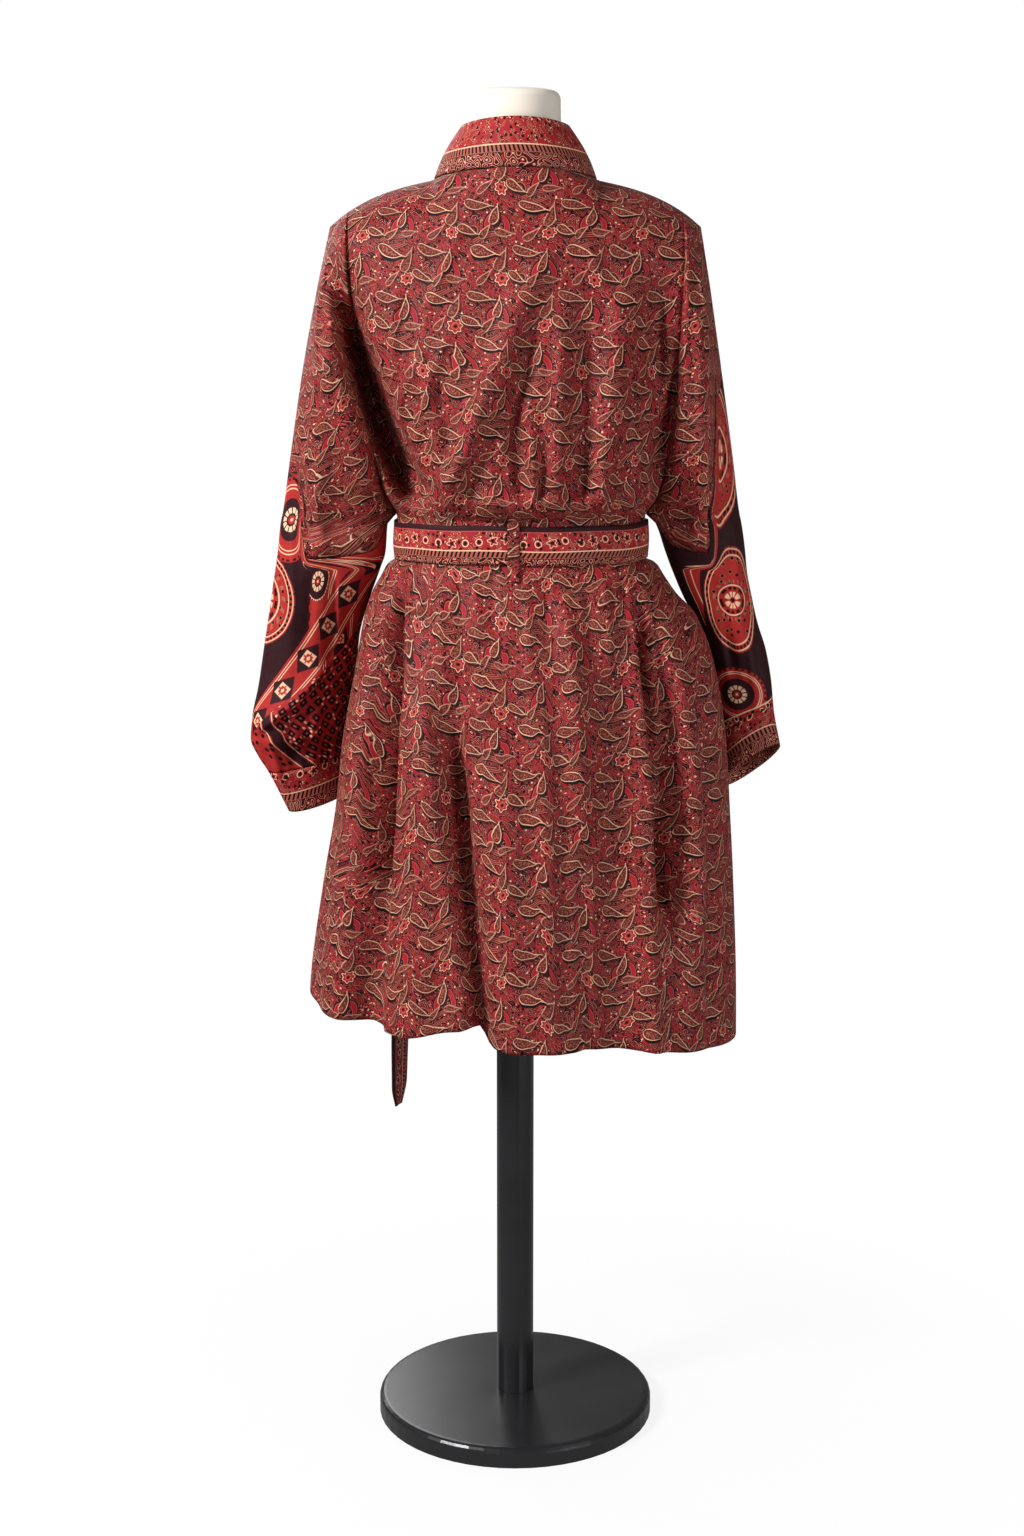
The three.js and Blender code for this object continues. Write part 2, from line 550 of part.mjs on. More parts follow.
function backGrid() {
  const turns = [...SLEEVE_TURNS].reverse();
  const left = [...HALF_COLUMNS].reverse();
  const columns = [
    ...turns.map((turn) => sleeveColumn('left', 1, turn)),
    ...left.map((share) => backColumn(1, share)),
    ...HALF_COLUMNS.slice(1).map((share) => backColumn(-1, share)),
    ...SLEEVE_TURNS.map((turn) => sleeveColumn('right', 1, turn)),
  ];
  return rowsFrom(columns);
}

function rowsFrom(columns) {
  return columns[0].map((_, r) => columns.map((column) => column[r]));
}

// how far a point of the right front lies under the left front
function lapDrop(x, z) {
  return LAP_DROP * smooth((x - LAP_START) / (LAP_FULL - LAP_START)) * smooth((LAP_TOP - z) / LAP_RUN);
}

// x of a front's edge; the right front is cut as the left one, mirrored
function frontEdgeX(side, z) {
  const x = along(FRONT_EDGE, 'z', z).x;
  return side === 'left' ? x : -x;
}

function frontPoint(side, x, z) {
  const point = bodyPoint(-1, x, z);
  if (side === 'right') {
    const reach = x >= 0 ? along(BODY, 'z', z).left : along(BODY, 'z', z).right;
    const drop = lapDrop(x, z);
    point.x -= drop * x / reach * 0.5;
    point.y += drop;
  }
  return point;
}

// a column of a front: share 0 is the side seam, 1 the edge where the band is sewn on
function frontColumn(side, share) {
  const sign = side === 'left' ? 1 : -1;
  const place = (level) => {
    const row = along(BODY, 'z', level);
    const edge = frontEdgeX(side, level);
    const edgeReach = edge >= 0 ? row.left : row.right;
    const edgeAngle = Math.asin(clamp(edge / edgeReach, -1, 1));
    const angle = mix(sign * Math.PI / 2, edgeAngle, share);
    const sine = Math.sin(angle);
    return sine * (sine >= 0 ? row.left : row.right);
  };
  const startX = place(SHOULDER_Z);
  const levels = upperLevels(shoulderZ(startX), UNDERARM_Z);
  const all = [...levels, ...hemLevels(-1, place(LOWER_LEVELS.at(-1)))];
  return all.map((level, row) => {
    const point = frontPoint(side, place(level), level);
    if (share === 0 || row === 0) point.y = Math.min(point.y, -SEAM_GAP / 2);
    return point;
  });
}

function frontGrid(side) {
  const columns = [...SLEEVE_TURNS].reverse().map((turn) => sleeveColumn(side, -1, turn));
  for (let i = 0; i <= FRONT_CELLS; i += 1) columns.push(frontColumn(side, i / FRONT_CELLS));
  return rowsFrom(columns);
}

// ---------------------------------------------------------------- sleeves and cuffs

function sleeveRing(side, level) {
  const turns = [0, ...SLEEVE_TURNS];
  const back = turns.map((turn) => sleevePoint(side, 1, turn, level));
  const front = turns.slice(1, -1).reverse().map((turn) => sleevePoint(side, -1, turn, level));
  return [...back, ...front];
}

// the drop under the seam that leaves the seam's gap, more where the seam runs steeply
function seamDrop(side, turn) {
  const step = 0.03;
  const climb = sleeveSeamZ(side, turn + step) - sleeveSeamZ(side, turn - step);
  return SEAM_GAP * (1.5 + Math.abs(climb) / (2 * step) / 110);
}

// the sleeve's first rings follow the seam on the body cloth, a gap below it
function seamRing(side, share) {
  const turns = [0, ...SLEEVE_TURNS];
  const at = (face) => (turn) => {
    const start = sleeveSeamZ(side, turn) - seamDrop(side, turn);
    return sleevePoint(side, face, turn, mix(start, SLEEVE_SEAM_Z, share));
  };
  const ring = [...turns.map(at(1)), ...turns.slice(1, -1).reverse().map(at(-1))];
  if (share === 0) {
    ring[0].z -= 2 * CLOTH;
    ring[0].x += Math.sign(ring[0].x) * 2 * CLOTH;
  }
  return ring;
}

function sleeveGrid(side) {
  const table = SLEEVE[side];
  const cuffTop = table.at(-2).z;
  const hanging = table.filter((row) => row.z < SLEEVE_SEAM_Z && row.z >= cuffTop);
  return [
    ...[0, 0.33, 0.66, 1].map((share) => seamRing(side, share)),
    ...hanging.map((row) => sleeveRing(side, row.z)),
  ];
}

function cuffGrid(side) {
  const top = SLEEVE[side].at(-2).z;
  const low = SLEEVE[side].at(-1).z;
  return [top - SEAM_GAP, mix(top, low, 0.5), low].map((level) => sleeveRing(side, level));
}

// ---------------------------------------------------------------- neck band

const BAND_CELLS = [0, 0.33, 0.66, 1];
const TURN_ROWS = [0, 0.2, 0.4, 0.6, 0.8];
const COLLAR_CELLS = 12;

// a row across the band where it lies on the chest or the skirt
function bandOnFront(side, z) {
  const sign = side === 'left' ? 1 : -1;
  const lean = THREE.MathUtils.degToRad(BAND_TILT) * smooth((z - BAND_LEAN.from) / BAND_LEAN.run);
  const seamX = frontEdgeX(side, z);
  return BAND_CELLS.map((share) => {
    const reach = EDGE_GAP + share * BAND_WIDTH;
    const x = seamX - sign * reach * Math.cos(lean);
    return frontPoint(side, x, z + reach * Math.sin(lean));
  });
}

// a row across the band between the chest and the side of the neck: share 0 is low, 1 at the side
function bandAtTurn(side, share) {
  const sign = side === 'left' ? 1 : -1;
  const z = mix(BAND_TURN_Z, SHOULDER_Z - 1, share);
  const low = bandOnFront(side, BAND_TURN_Z).at(-1);
  const high = new THREE.Vector3(sign * COLLAR_TOP.half, COLLAR_TOP.side, COLLAR_TOP.z - COLLAR_TOP.fall);
  const bend = new THREE.Vector3(sign * BAND_BEND.x, BAND_BEND.y, BAND_BEND.z);
  const free = new THREE.QuadraticBezierCurve3(low, bend, high).getPoint(share);
  const flat = bandOnFront(side, z);
  const seam = flat[0];
  return BAND_CELLS.map((across, i) => {
    const straight = seam.clone().lerp(free, across);
    return flat[i].clone().lerp(straight, smooth(share * 2.5));
  });
}

// a row across the standing collar: angle 0 is the nape, 90 degrees the side of the neck
function collarRow(angle) {
  const s = Math.sin(angle);
  const c = Math.cos(angle);
  const seamZ = SHOULDER_Z + NECK_RISE * c * c + EDGE_GAP * (1 + 2 * s * s);
  const seam = new THREE.Vector3(NECK_HALF * s, NECK_BACK * c, seamZ);
  const freeY = mix(COLLAR_TOP.side, COLLAR_TOP.back, c);
  const free = new THREE.Vector3(COLLAR_TOP.half * s, freeY, COLLAR_TOP.z - COLLAR_TOP.fall * s * s);
  const bow = new THREE.Vector3(s, c, 0).multiplyScalar(COLLAR_BOW);
  return BAND_CELLS.map((across) => (
    seam.clone().lerp(free, across).addScaledVector(bow, Math.sin(Math.PI * across))
  ));
}

function bandSide(side) {
  const x = side === 'left' ? FRONT_EDGE.at(-1).x : -FRONT_EDGE.at(-1).x;
  const hem = along(HEM.front, 'x', x).z;
  const levels = [hem, ...[...LOWER_LEVELS].reverse()];
  levels.push(...UPPER_ROWS.map((share) => mix(UNDERARM_Z, YOKE_Z, share)), BAND_LAST_Z);
  const rows = levels.map((z) => bandOnFront(side, z));
  for (const share of TURN_ROWS) rows.push(bandAtTurn(side, share));
  return rows;
}

function bandGrid() {
  const rows = [...bandSide('left')];
  for (let i = 0; i <= COLLAR_CELLS; i += 1) {
    rows.push(collarRow(mix(Math.PI / 2, -Math.PI / 2, i / COLLAR_CELLS)));
  }
  rows.push(...bandSide('right').reverse());
  return rows;
}

// ---------------------------------------------------------------- belt

// a point of the belt's outer face, at an angle round the waist from the back centre
function beltPoint(angle, z, out = 0) {
  const row = along(BODY, 'z', BELT.middle);
  const s = Math.sin(angle);
  const c = Math.cos(angle);
  const proud = BELT.gap + BELT.wall + out;
  const reach = (s >= 0 ? row.left : row.right) + proud;
  const depth = (c >= 0 ? row.back : row.front) + proud;
  return new THREE.Vector3(reach * s, depth * c, z);
}

function beltGrid() {
  const rows = [];
  for (const z of [BELT.top, BELT.middle, BELT.low]) {
    const row = [];
    for (let i = 0; i < BELT.columns; i += 1) {
      row.push(beltPoint((2 * Math.PI * i) / BELT.columns, z));
    }
    rows.push(row);
  }
  return rows;
}

// a soft lump with rounded ends, from level rings
function knotSolid() {
  const angle = Math.PI - Math.asin(KNOT.x / (along(BODY, 'z', BELT.middle).left + BELT.wall));
  const seat = beltPoint(angle, BELT.middle, KNOT.seat);
  const outward = new THREE.Vector3(Math.sin(angle), Math.cos(angle) * KNOT.facing, 0).normalize();
  const sideways = new THREE.Vector3(-outward.y, outward.x, 0);
  const centre = seat.clone().addScaledVector(outward, KNOT.deep);
  const rings = [];
  for (const t of [-0.96, -0.8, -0.5, 0, 0.5, 0.8, 0.96]) {
    const girth = Math.sqrt(1 - t * t);
    const ring = [];
    for (let i = 0; i < KNOT.sides; i += 1) {
      const a = (2 * Math.PI * i) / KNOT.sides;
      const wide = KNOT.half * (0.35 + 0.65 * girth) * Math.sin(a);
      const deep = KNOT.deep * (0.3 + 0.7 * girth) * Math.cos(a);
      const point = centre.clone().addScaledVector(sideways, wide).addScaledVector(outward, deep);
      point.z = KNOT.z + KNOT.tall * t;
      ring.push(point);
    }
    rings.push(ring);
  }
  return loft(rings);
}

// the belt's hanging ends: centre line by height, the width's heading and half width
const LONG_TAIL = [
  { z: 934.7, x: 78, out: 5, turn: 8, half: 11 },
  { z: 918, x: 79, out: 6, turn: 8, half: 16 },
  { z: 900, x: 80, out: 8, turn: 10, half: 19 },
  { z: 840, x: 88, out: 9, turn: 14, half: 20 },
  { z: 740, x: 101, out: 10, turn: 20, half: 20 },
  { z: 640, x: 112, out: 10, turn: 28, half: 20 },
  { z: 540, x: 122, out: 10, turn: 40, half: 20 },
  { z: 460, x: 128, out: 9, turn: 55, half: 20 },
  { z: 380, x: 132, out: 7, turn: 66, half: 20 },
  { z: 330, x: 133, out: 6, turn: 68, half: 19 },
  { z: 304, x: 134, out: 6, turn: 68, half: 8 },
];
const SHORT_TAIL = [
  { z: 934.7, x: 60, out: 5, turn: 2, half: 6 },
  { z: 918, x: 52, out: 7, turn: 0, half: 12 },
  { z: 895, x: 44, out: 8, turn: -2, half: 19 },
  { z: 830, x: 40, out: 9, turn: -4, half: 20 },
  { z: 740, x: 38, out: 9, turn: -4, half: 20 },
  { z: 640, x: 36, out: 9, turn: -4, half: 20 },
  { z: 560, x: 35, out: 9, turn: -4, half: 20 },
  { z: 532, x: 35, out: 9, turn: -4, half: 12 },
];

function tailGrid(table) {
  return table.map((row) => {
    const level = Math.max(row.z, TAIL.straight);
    const body = along(BODY, 'z', level);
    const depth = body.front * Math.sqrt(1 - (row.x / body.left) ** 2) + TAIL.off;
    const heading = THREE.MathUtils.degToRad(row.turn);
    return [-1, 0, 1].map((share) => {
      const wide = share * row.half;
      const x = row.x + wide * Math.cos(heading);
      return new THREE.Vector3(x, -depth - row.out + wide * Math.sin(heading), row.z);
    });
  });
}

// ---------------------------------------------------------------- belt loop on the back

function loopGrid() {
  const span = [0, 0.12, 0.3, 0.5, 0.7, 0.88, 1];
  return span.map((share) => {
    const z = mix(LOOP.top, LOOP.low, share);
    return [-1, 0, 1].map((across) => {
      const x = LOOP.x + across * LOOP.half;
      const cloth = bodyPoint(1, x, z).y;
      const belt = beltPoint(0, z, LOOP.over).y;
      const over = smooth(Math.sin(Math.PI * share) * LOOP.rise);
      const y = Math.max(cloth + LOOP.seat, mix(cloth + LOOP.seat, belt, over)) + LOOP.wall;
      return new THREE.Vector3(x, y, z);
    });
  });
}

// ---------------------------------------------------------------- form, pole and foot

function formRing(row, z) {
  const ring = [];
  for (let i = 0; i < SIDES.form; i += 1) {
    const a = (2 * Math.PI * i) / SIDES.form;
    const depth = Math.sin(a) >= 0 ? row.back : row.front;
    ring.push(new THREE.Vector3(row.half * Math.cos(a), row.y + depth * Math.sin(a), z));
  }
  return ring;
}

function formSolid() {
  const rings = FORM.map((row) => formRing(row, row.z));
  for (const row of FORM_SHOULDER) rings.push(formRing(row, shoulderZ(row.half) - FORM_UNDER));
  for (const row of FORM_NECK) rings.push(formRing(row, row.z));
  return loft(rings);
}

// a round solid on the upright axis, from its outline (radius, height) between two axis points
function turned(outline, sides, y) {
  const points = outline.map(([radius, height]) => new THREE.Vector2(radius, height));
  const geometry = new THREE.LatheGeometry(points, sides);
  geometry.rotateX(Math.PI / 2);
  geometry.translate(0, y, 0);
  return geometry;
}

function turnedMesh(name, material, outline, sides, y = 0) {
  const mesh = new THREE.Mesh(turned(outline, sides, y), material);
  mesh.name = name;
  return mesh;
}

function roundedTop(radius, low, top, edge) {
  const outline = [[0, low], [radius, low]];
  for (let i = 0; i <= 4; i += 1) {
    const a = (Math.PI / 2) * (i / 4);
    outline.push([radius - edge + edge * Math.cos(a), top - edge + edge * Math.sin(a)]);
  }
  outline.push([0, top]);
  return outline;
}

// ---------------------------------------------------------------- the whole object

const jacket = new THREE.Group();
jacket.add(wallFromGrid(backGrid(), CLOTH, { keep: 1 }).mesh('back_panel', PAISLEY));
for (const side of ['left', 'right']) {
  const options = { flip: side === 'left', keep: -1 };
  jacket.add(wallFromGrid(frontGrid(side), CLOTH, options).mesh(`front_${side}`, PAISLEY));
}
for (const side of ['left', 'right']) {
  const options = { closed: true, flip: side === 'left' };
  jacket.add(wallFromGrid(sleeveGrid(side), CLOTH, options).mesh(`sleeve_${side}`, BORDER));
  jacket.add(wallFromGrid(cuffGrid(side), CLOTH, options).mesh(`cuff_${side}`, BORDER));
}
jacket.add(wallFromGrid(bandGrid(), BAND_WALL).mesh('collar_band', BORDER));
jacket.add(wallFromGrid(beltGrid(), BELT.wall, { closed: true, flip: true }).mesh('belt', BORDER));
jacket.add(knotSolid().mesh('belt_knot', BORDER));
jacket.add(wallFromGrid(tailGrid(LONG_TAIL), BAND_WALL).mesh('belt_tail_long', BORDER));
jacket.add(wallFromGrid(tailGrid(SHORT_TAIL), BAND_WALL).mesh('belt_tail_short', BORDER));
jacket.add(wallFromGrid(loopGrid(), LOOP.wall, { flip: true }).mesh('belt_loop_back', PAISLEY));

const stand = new THREE.Group();
stand.add(formSolid().mesh('form_torso', JERSEY));
const capOutline = roundedTop(NECK.radius, NECK.capLow, NECK.capTop, NECK.edge);
stand.add(turnedMesh('neck_cap', JERSEY, capOutline, SIDES.cap, NECK.y));
const poleLow = FOOT.thick + STAND_GAP;
const poleTop = FORM_LOW - STAND_GAP;
const poleOutline = [[0, poleLow], [POLE_RADIUS, poleLow], [POLE_RADIUS, poleTop], [0, poleTop]];
stand.add(turnedMesh('pole', BLACK_PAINT, poleOutline, SIDES.pole));
const footOutline = roundedTop(FOOT.radius, 0, FOOT.thick, FOOT.edge);
stand.add(turnedMesh('foot', BLACK_PAINT, footOutline, SIDES.foot));

const whole = new THREE.Group();
whole.add(jacket, stand);

export default whole;
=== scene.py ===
import math

import bmesh
import bpy
import numpy as np
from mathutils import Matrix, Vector
from mathutils.bvhtree import BVHTree


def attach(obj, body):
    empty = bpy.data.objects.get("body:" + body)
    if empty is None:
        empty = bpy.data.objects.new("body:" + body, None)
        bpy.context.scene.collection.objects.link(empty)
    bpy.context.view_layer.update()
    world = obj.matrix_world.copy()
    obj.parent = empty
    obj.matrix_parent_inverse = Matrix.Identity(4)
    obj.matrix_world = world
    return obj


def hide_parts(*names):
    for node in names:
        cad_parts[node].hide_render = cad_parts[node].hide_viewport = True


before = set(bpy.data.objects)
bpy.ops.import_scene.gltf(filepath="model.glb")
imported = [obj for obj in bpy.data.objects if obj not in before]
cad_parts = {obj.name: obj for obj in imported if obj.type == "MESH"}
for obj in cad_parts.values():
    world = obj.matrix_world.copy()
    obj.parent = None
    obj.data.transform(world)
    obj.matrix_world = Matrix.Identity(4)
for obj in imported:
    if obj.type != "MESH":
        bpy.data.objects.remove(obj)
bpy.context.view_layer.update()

bl_info = {
    "name": "Kimono jacket on a dress form",
    "version": (1, 0, 0),
    "blender": (4, 5, 0),
    "location": "3D View > Sidebar > Kimono",
    "description": "Cloth, belt, form and stage of a belted kimono jacket",
    "category": "Object",
}

MM = 0.001


# ---------------------------------------------------------------- what a user may change


def colour(title, about, value):
    return bpy.props.FloatVectorProperty(
        name=title, description=about, default=value, subtype="COLOR", size=3, min=0, max=1
    )


def length(title, about, value, low, high):
    return bpy.props.FloatProperty(
        name=title, description=about, default=value, min=low, max=high, subtype="DISTANCE", unit="LENGTH"
    )


def power(title, value):
    return bpy.props.FloatProperty(
        name=title, description=f"{title} of the studio", default=value, min=0, subtype="POWER", unit="POWER"
    )


class KIMONO_colours(bpy.types.PropertyGroup):
    """Colours of the prints, the form and the stand"""

    cream: colour("Cream", "Fine lines and petals of the prints", (0.86, 0.52, 0.33))
    tan: colour("Tan", "Filling of the leaves", (0.40, 0.11, 0.07))
    rose: colour("Rose", "Pale curls of the print", (0.46, 0.075, 0.066))
    crimson: colour("Crimson", "Ground of the print", (0.34, 0.014, 0.022))
    maroon: colour("Maroon", "Dark ground of the print", (0.085, 0.008, 0.008))
    night: colour("Near black", "Shadows and dots of the prints", (0.010, 0.002, 0.003))
    red: colour("Border red", "Bands and medallions of the border", (0.40, 0.025, 0.021))
    aubergine: colour("Aubergine", "Dark ground of the border", (0.030, 0.0065, 0.009))
    jersey: colour("Jersey", "Cover of the form", (0.77, 0.69, 0.585))
    jersey_light: colour("Pale jersey", "Lighter patches of the form's cover", (0.82, 0.755, 0.66))
    paint: colour("Paint", "Paint of the pole and the foot", (0.010, 0.010, 0.011))
    paint_light: colour("Worn paint", "Paler patches of the paint", (0.016, 0.016, 0.018))


class KIMONO_cloth(bpy.types.PropertyGroup):
    """Thickness of the cloths and size of the print"""

    jacket_wall: length(
        "Jacket cloth", "Thickness of the back, the fronts and the sleeves", 0.0012, 0.0004, 0.003
    )
    band_wall: length(
        "Band", "Thickness of the neck band, the cuffs and the belt's ends", 0.0018, 0.0004, 0.004
    )
    belt_wall: length("Belt", "Thickness of the belt", 0.002, 0.0004, 0.004)
    print_repeat: length("Repeat", "Width of one repeat of the paisley print", 0.096, 0.03, 0.3)
    print_row: length("Row", "Height of one row of the paisley print", 0.045, 0.015, 0.15)


class KIMONO_stage(bpy.types.PropertyGroup):
    """Lights and camera"""

    key: power("Key light", 164)
    fill: power("Fill light", 48)
    front: power("Front light", 44)
    strip: power("Strip light", 5)
    around: bpy.props.FloatProperty(
        name="Surround", description="Strength of the white surround", default=0.15, min=0
    )
    lens: bpy.props.FloatProperty(
        name="Lens", description="Focal length of the camera", default=54.02, min=10, unit="CAMERA"
    )

# ---------------------------------------------------------------- sizes of the jacket, in mm

SHOULDER_Z, SHOULDER_FALL, SHOULDER_ROLL, SHOULDER_END = 1323, 22, 24, 188
SHOULDER_ROUND = 60
NECK_HALF, NECK_BACK, NECK_FRONT, NECK_RISE = 82, 85, 50, 7
YOKE_Z, UNDERARM_Z, SLEEVE_SEAM_Z = 1180, 988, 930
TOP_HALF = 168
SEAM_GAP = 0.4
BAND_WIDTH, BAND_TILT, BAND_TURN_Z = 50, 20, 1250
COLLAR_HALF, COLLAR_BACK, COLLAR_SIDE, COLLAR_Z, COLLAR_FALL = 54, 76, 18, 1379, 5
LAP_DROP, LAP_START, LAP_FULL = 5.5, -142, -116
BELT_TOP, BELT_LOW, BELT_PROUD, BELT_MID = 981.5, 943, 3.3, 962
KNOT_X, KNOT_HALF, KNOT_DEEP, KNOT_TALL = 66, 24, 15, 27
LOOP_X, LOOP_HALF, LOOP_TOP, LOOP_LOW = 2, 6, 990, 928

# height, left and right reach, depth at the back and the front, depth kept at the side, roundness
BODY = [
    (1335, 168, 168, 87, 76, 52, 0),
    (1260, 168, 168, 103, 96, 60, 0),
    (1180, 163, 165, 112, 114, 62, 0.1),
    (1100, 152, 160, 114, 122, 54, 0.35),
    (1040, 141, 154, 113, 114, 33, 0.7),
    (1005, 131, 146, 110, 103, 12, 1),
    (988, 123, 135, 99, 93, 1.9, 1),
    (985, 122.4, 134.4, 98.6, 92.6, 0, 1),
    (943, 122.4, 134.4, 98.6, 92.6, 0, 1),
    (937, 132, 146, 102, 95, 0, 1),
    (925, 139, 154, 108, 100, 0, 1),
    (905, 150, 168, 117, 106, 0, 1),
    (884, 157, 188, 125, 112, 0, 1),
    (825, 168, 210, 137, 122, 0, 1),
    (750, 182, 222, 146, 130, 0, 1),
    (680, 190, 227, 151, 135, 0, 1),
    (600, 204, 232, 157, 140, 0, 1),
    (485, 220, 237, 164, 146, 0, 1),
    (420, 223, 238, 166, 148, 0, 1),
]

# height, outer fold line (z, x, y), inner fold line (z, x, y), fullness at the back and the front
SLEEVE = {
    "left": [
        (1277, 1277, 188, 0, 1277, 168, 0, 19, 19),
        (1224, 1224, 200, 0, 1224, 166, 0, 24, 24),
        (1134, 1134, 218, 0, 1134, 157, 0, 30, 30),
        (1040, 1040, 233, 0, 1040, 141, 0, 34, 34),
        (988, 988, 241, 0, 988, 123, 0, 36, 36),
        (980, 980, 243, 0, 980, 132, -1, 36, 36),
        (948, 948, 247, -1, 948, 135, -2, 36, 35),
        (930, 930, 250, -2, 930, 141, -7, 36, 34),
        (895, 895, 256, -6, 896, 154, -23, 36, 33),
        (850, 850, 263, -9, 855, 167, -43, 37, 32),
        (805, 805, 270, -10, 815, 172, -57, 38, 30),
        (772, 772, 277, -10, 785, 176, -67, 41, 28),
        (748, 748, 279, -10, 762, 179, -69, 37, 27),
        (732, 732, 273, -12, 748, 180, -70, 26, 25),
        (712, 712, 261, -14, 728, 181, -70, 21, 23),
        (669, 669, 240, -18, 686, 183, -70, 20, 21),
    ],
    "right": [
        (1277, 1277, 188, 0, 1277, 168, 0, 19, 19),
        (1224, 1224, 197, 0, 1224, 167, 0, 23, 23),
        (1134, 1134, 211, 0, 1134, 162, 0, 27, 27),
        (1040, 1040, 225, 0, 1040, 154, 0, 30, 30),
        (988, 988, 232, 0, 988, 135, 0, 31, 31),
        (980, 980, 234, 0, 980, 144, -1, 31, 31),
        (948, 948, 239, -1, 948, 156, -3, 30, 30),
        (930, 930, 241, -2, 930, 163, -8, 29, 29),
        (900, 900, 247, -6, 898, 178, -25, 27, 27),
        (870, 870, 253, -8, 862, 200, -38, 26, 25),
        (845, 845, 260, -9, 828, 211, -47, 26, 25),
        (815, 815, 265, -10, 785, 219, -55, 26, 25),
        (783, 783, 268, -10, 737, 225, -61, 25, 24),
        (743, 743, 277, -12, 689, 228, -64, 25, 24),
    ],
}
CUFF_TOP = {"left": 712, "right": 783}
CUFF_LOW = {"left": 669, "right": 743}

# turn round the sleeve from underarm to outer fold line, and the seam's height there
SLEEVE_SEAM = {
    "left": [(0, 988), (0.22, 952), (0.62, 944), (0.78, 1022), (1, 1034)],
    "right": [(0, 988), (0.22, 956), (0.5, 950), (0.72, 1108), (1, 1136)],
}

# hem height by x
HEM = {
    1: [(-240, 432), (-170, 444), (-60, 458), (24, 461), (42, 481), (120, 469), (224, 481)],
    -1: [(-240, 432), (-110, 452), (30, 466), (140, 470), (224, 481)],
}

# x of the left front's edge by height
FRONT_EDGE = [
    (1323, 82), (1290, 77), (1250, 67), (1200, 51), (1100, 14), (1000, -22),
    (962, -31), (880, -38), (420, -50),
]

# long folds: top z, low z, x at top, middle and low end, half width at top and low end, rise
BACK_FOLDS = [
    (1262, 989, (180, 148, 86), (20, 27), -44),
    (1200, 989, (196, 176, 124), (22, 30), 18),
    (1200, 905, (184, 196, 201), (12, 16), 9),
    (1270, 905, (-184, -188, -194), (11, 15), 10.5),
    (1275, 989, (-36, 16, 84), (24, 24), 12),
    (1240, 989, (-30, -4, -10), (20, 15), -10.5),
    (1215, 989, (-46, -42, -32), (13, 11), 7.5),
    (1215, 989, (-66, -66, -58), (16, 15), -10.5),
    (1250, 989, (-112, -98, -84), (22, 18), 12),
    (1245, 989, (-142, -138, -124), (18, 30), -16),
    (1016, 988, (0, 0, 0), (110, 120), 10.5),
    (935, 330, (127, 144, 166), (14, 27), -27),
    (935, 330, (144, 172, 200), (15, 30), 12),
    (925, 330, (92, 102, 100), (26, 34), 12),
    (840, 380, (74, 48, 30), (13, 22), -22),
    (790, 330, (24, -4, -20), (24, 52), 13.5),
    (915, 640, (-52, -62, -74), (15, 18), 12),
    (925, 330, (-98, -104, -112), (26, 36), -15),
    (942, 560, (-118, -158, -168), (15, 17), -24),
    (900, 400, (-160, -180, -176), (15, 26), 10.5),
    (850, 660, (-182, -194, -198), (9, 10), -10.5),
    (1205, 990, (174, 146, 98), (13, 19), -30),
    (941, 600, (120, 126, 138), (12, 17), -46),
    (938, 560, (-120, -146, -160), (11, 15), -34),
    (1150, 990, (-158, -150, -128), (10, 15), -16),
    (930, 480, (52, 60, 66), (12, 26), -9),
    (900, 360, (-14, -34, -52), (14, 30), 9),
    (860, 340, (-66, -76, -82), (12, 24), -9),
    (1180, 995, (100, 84, 62), (16, 13), 9),
    (1130, 992, (-6, -14, -16), (12, 10), 8),
]
FRONT_FOLDS = [
    (1262, 989, (178, 150, 100), (20, 28), -36),
    (1245, 989, (-176, -152, -112), (20, 28), -30),
    (1240, 989, (122, 104, 66), (18, 22), 10.4),
    (1235, 989, (-118, -100, -66), (18, 22), 10.4),
    (1016, 988, (0, 0, 0), (110, 120), 7.8),
    (935, 330, (108, 128, 140), (16, 28), -18),
    (935, 330, (62, 74, 84), (22, 32), 11.7),
    (915, 330, (24, 26, 30), (15, 24), -10.4),
    (935, 330, (-96, -112, -124), (20, 30), 11.7),
    (935, 330, (-126, -156, -170), (15, 24), -18),
]

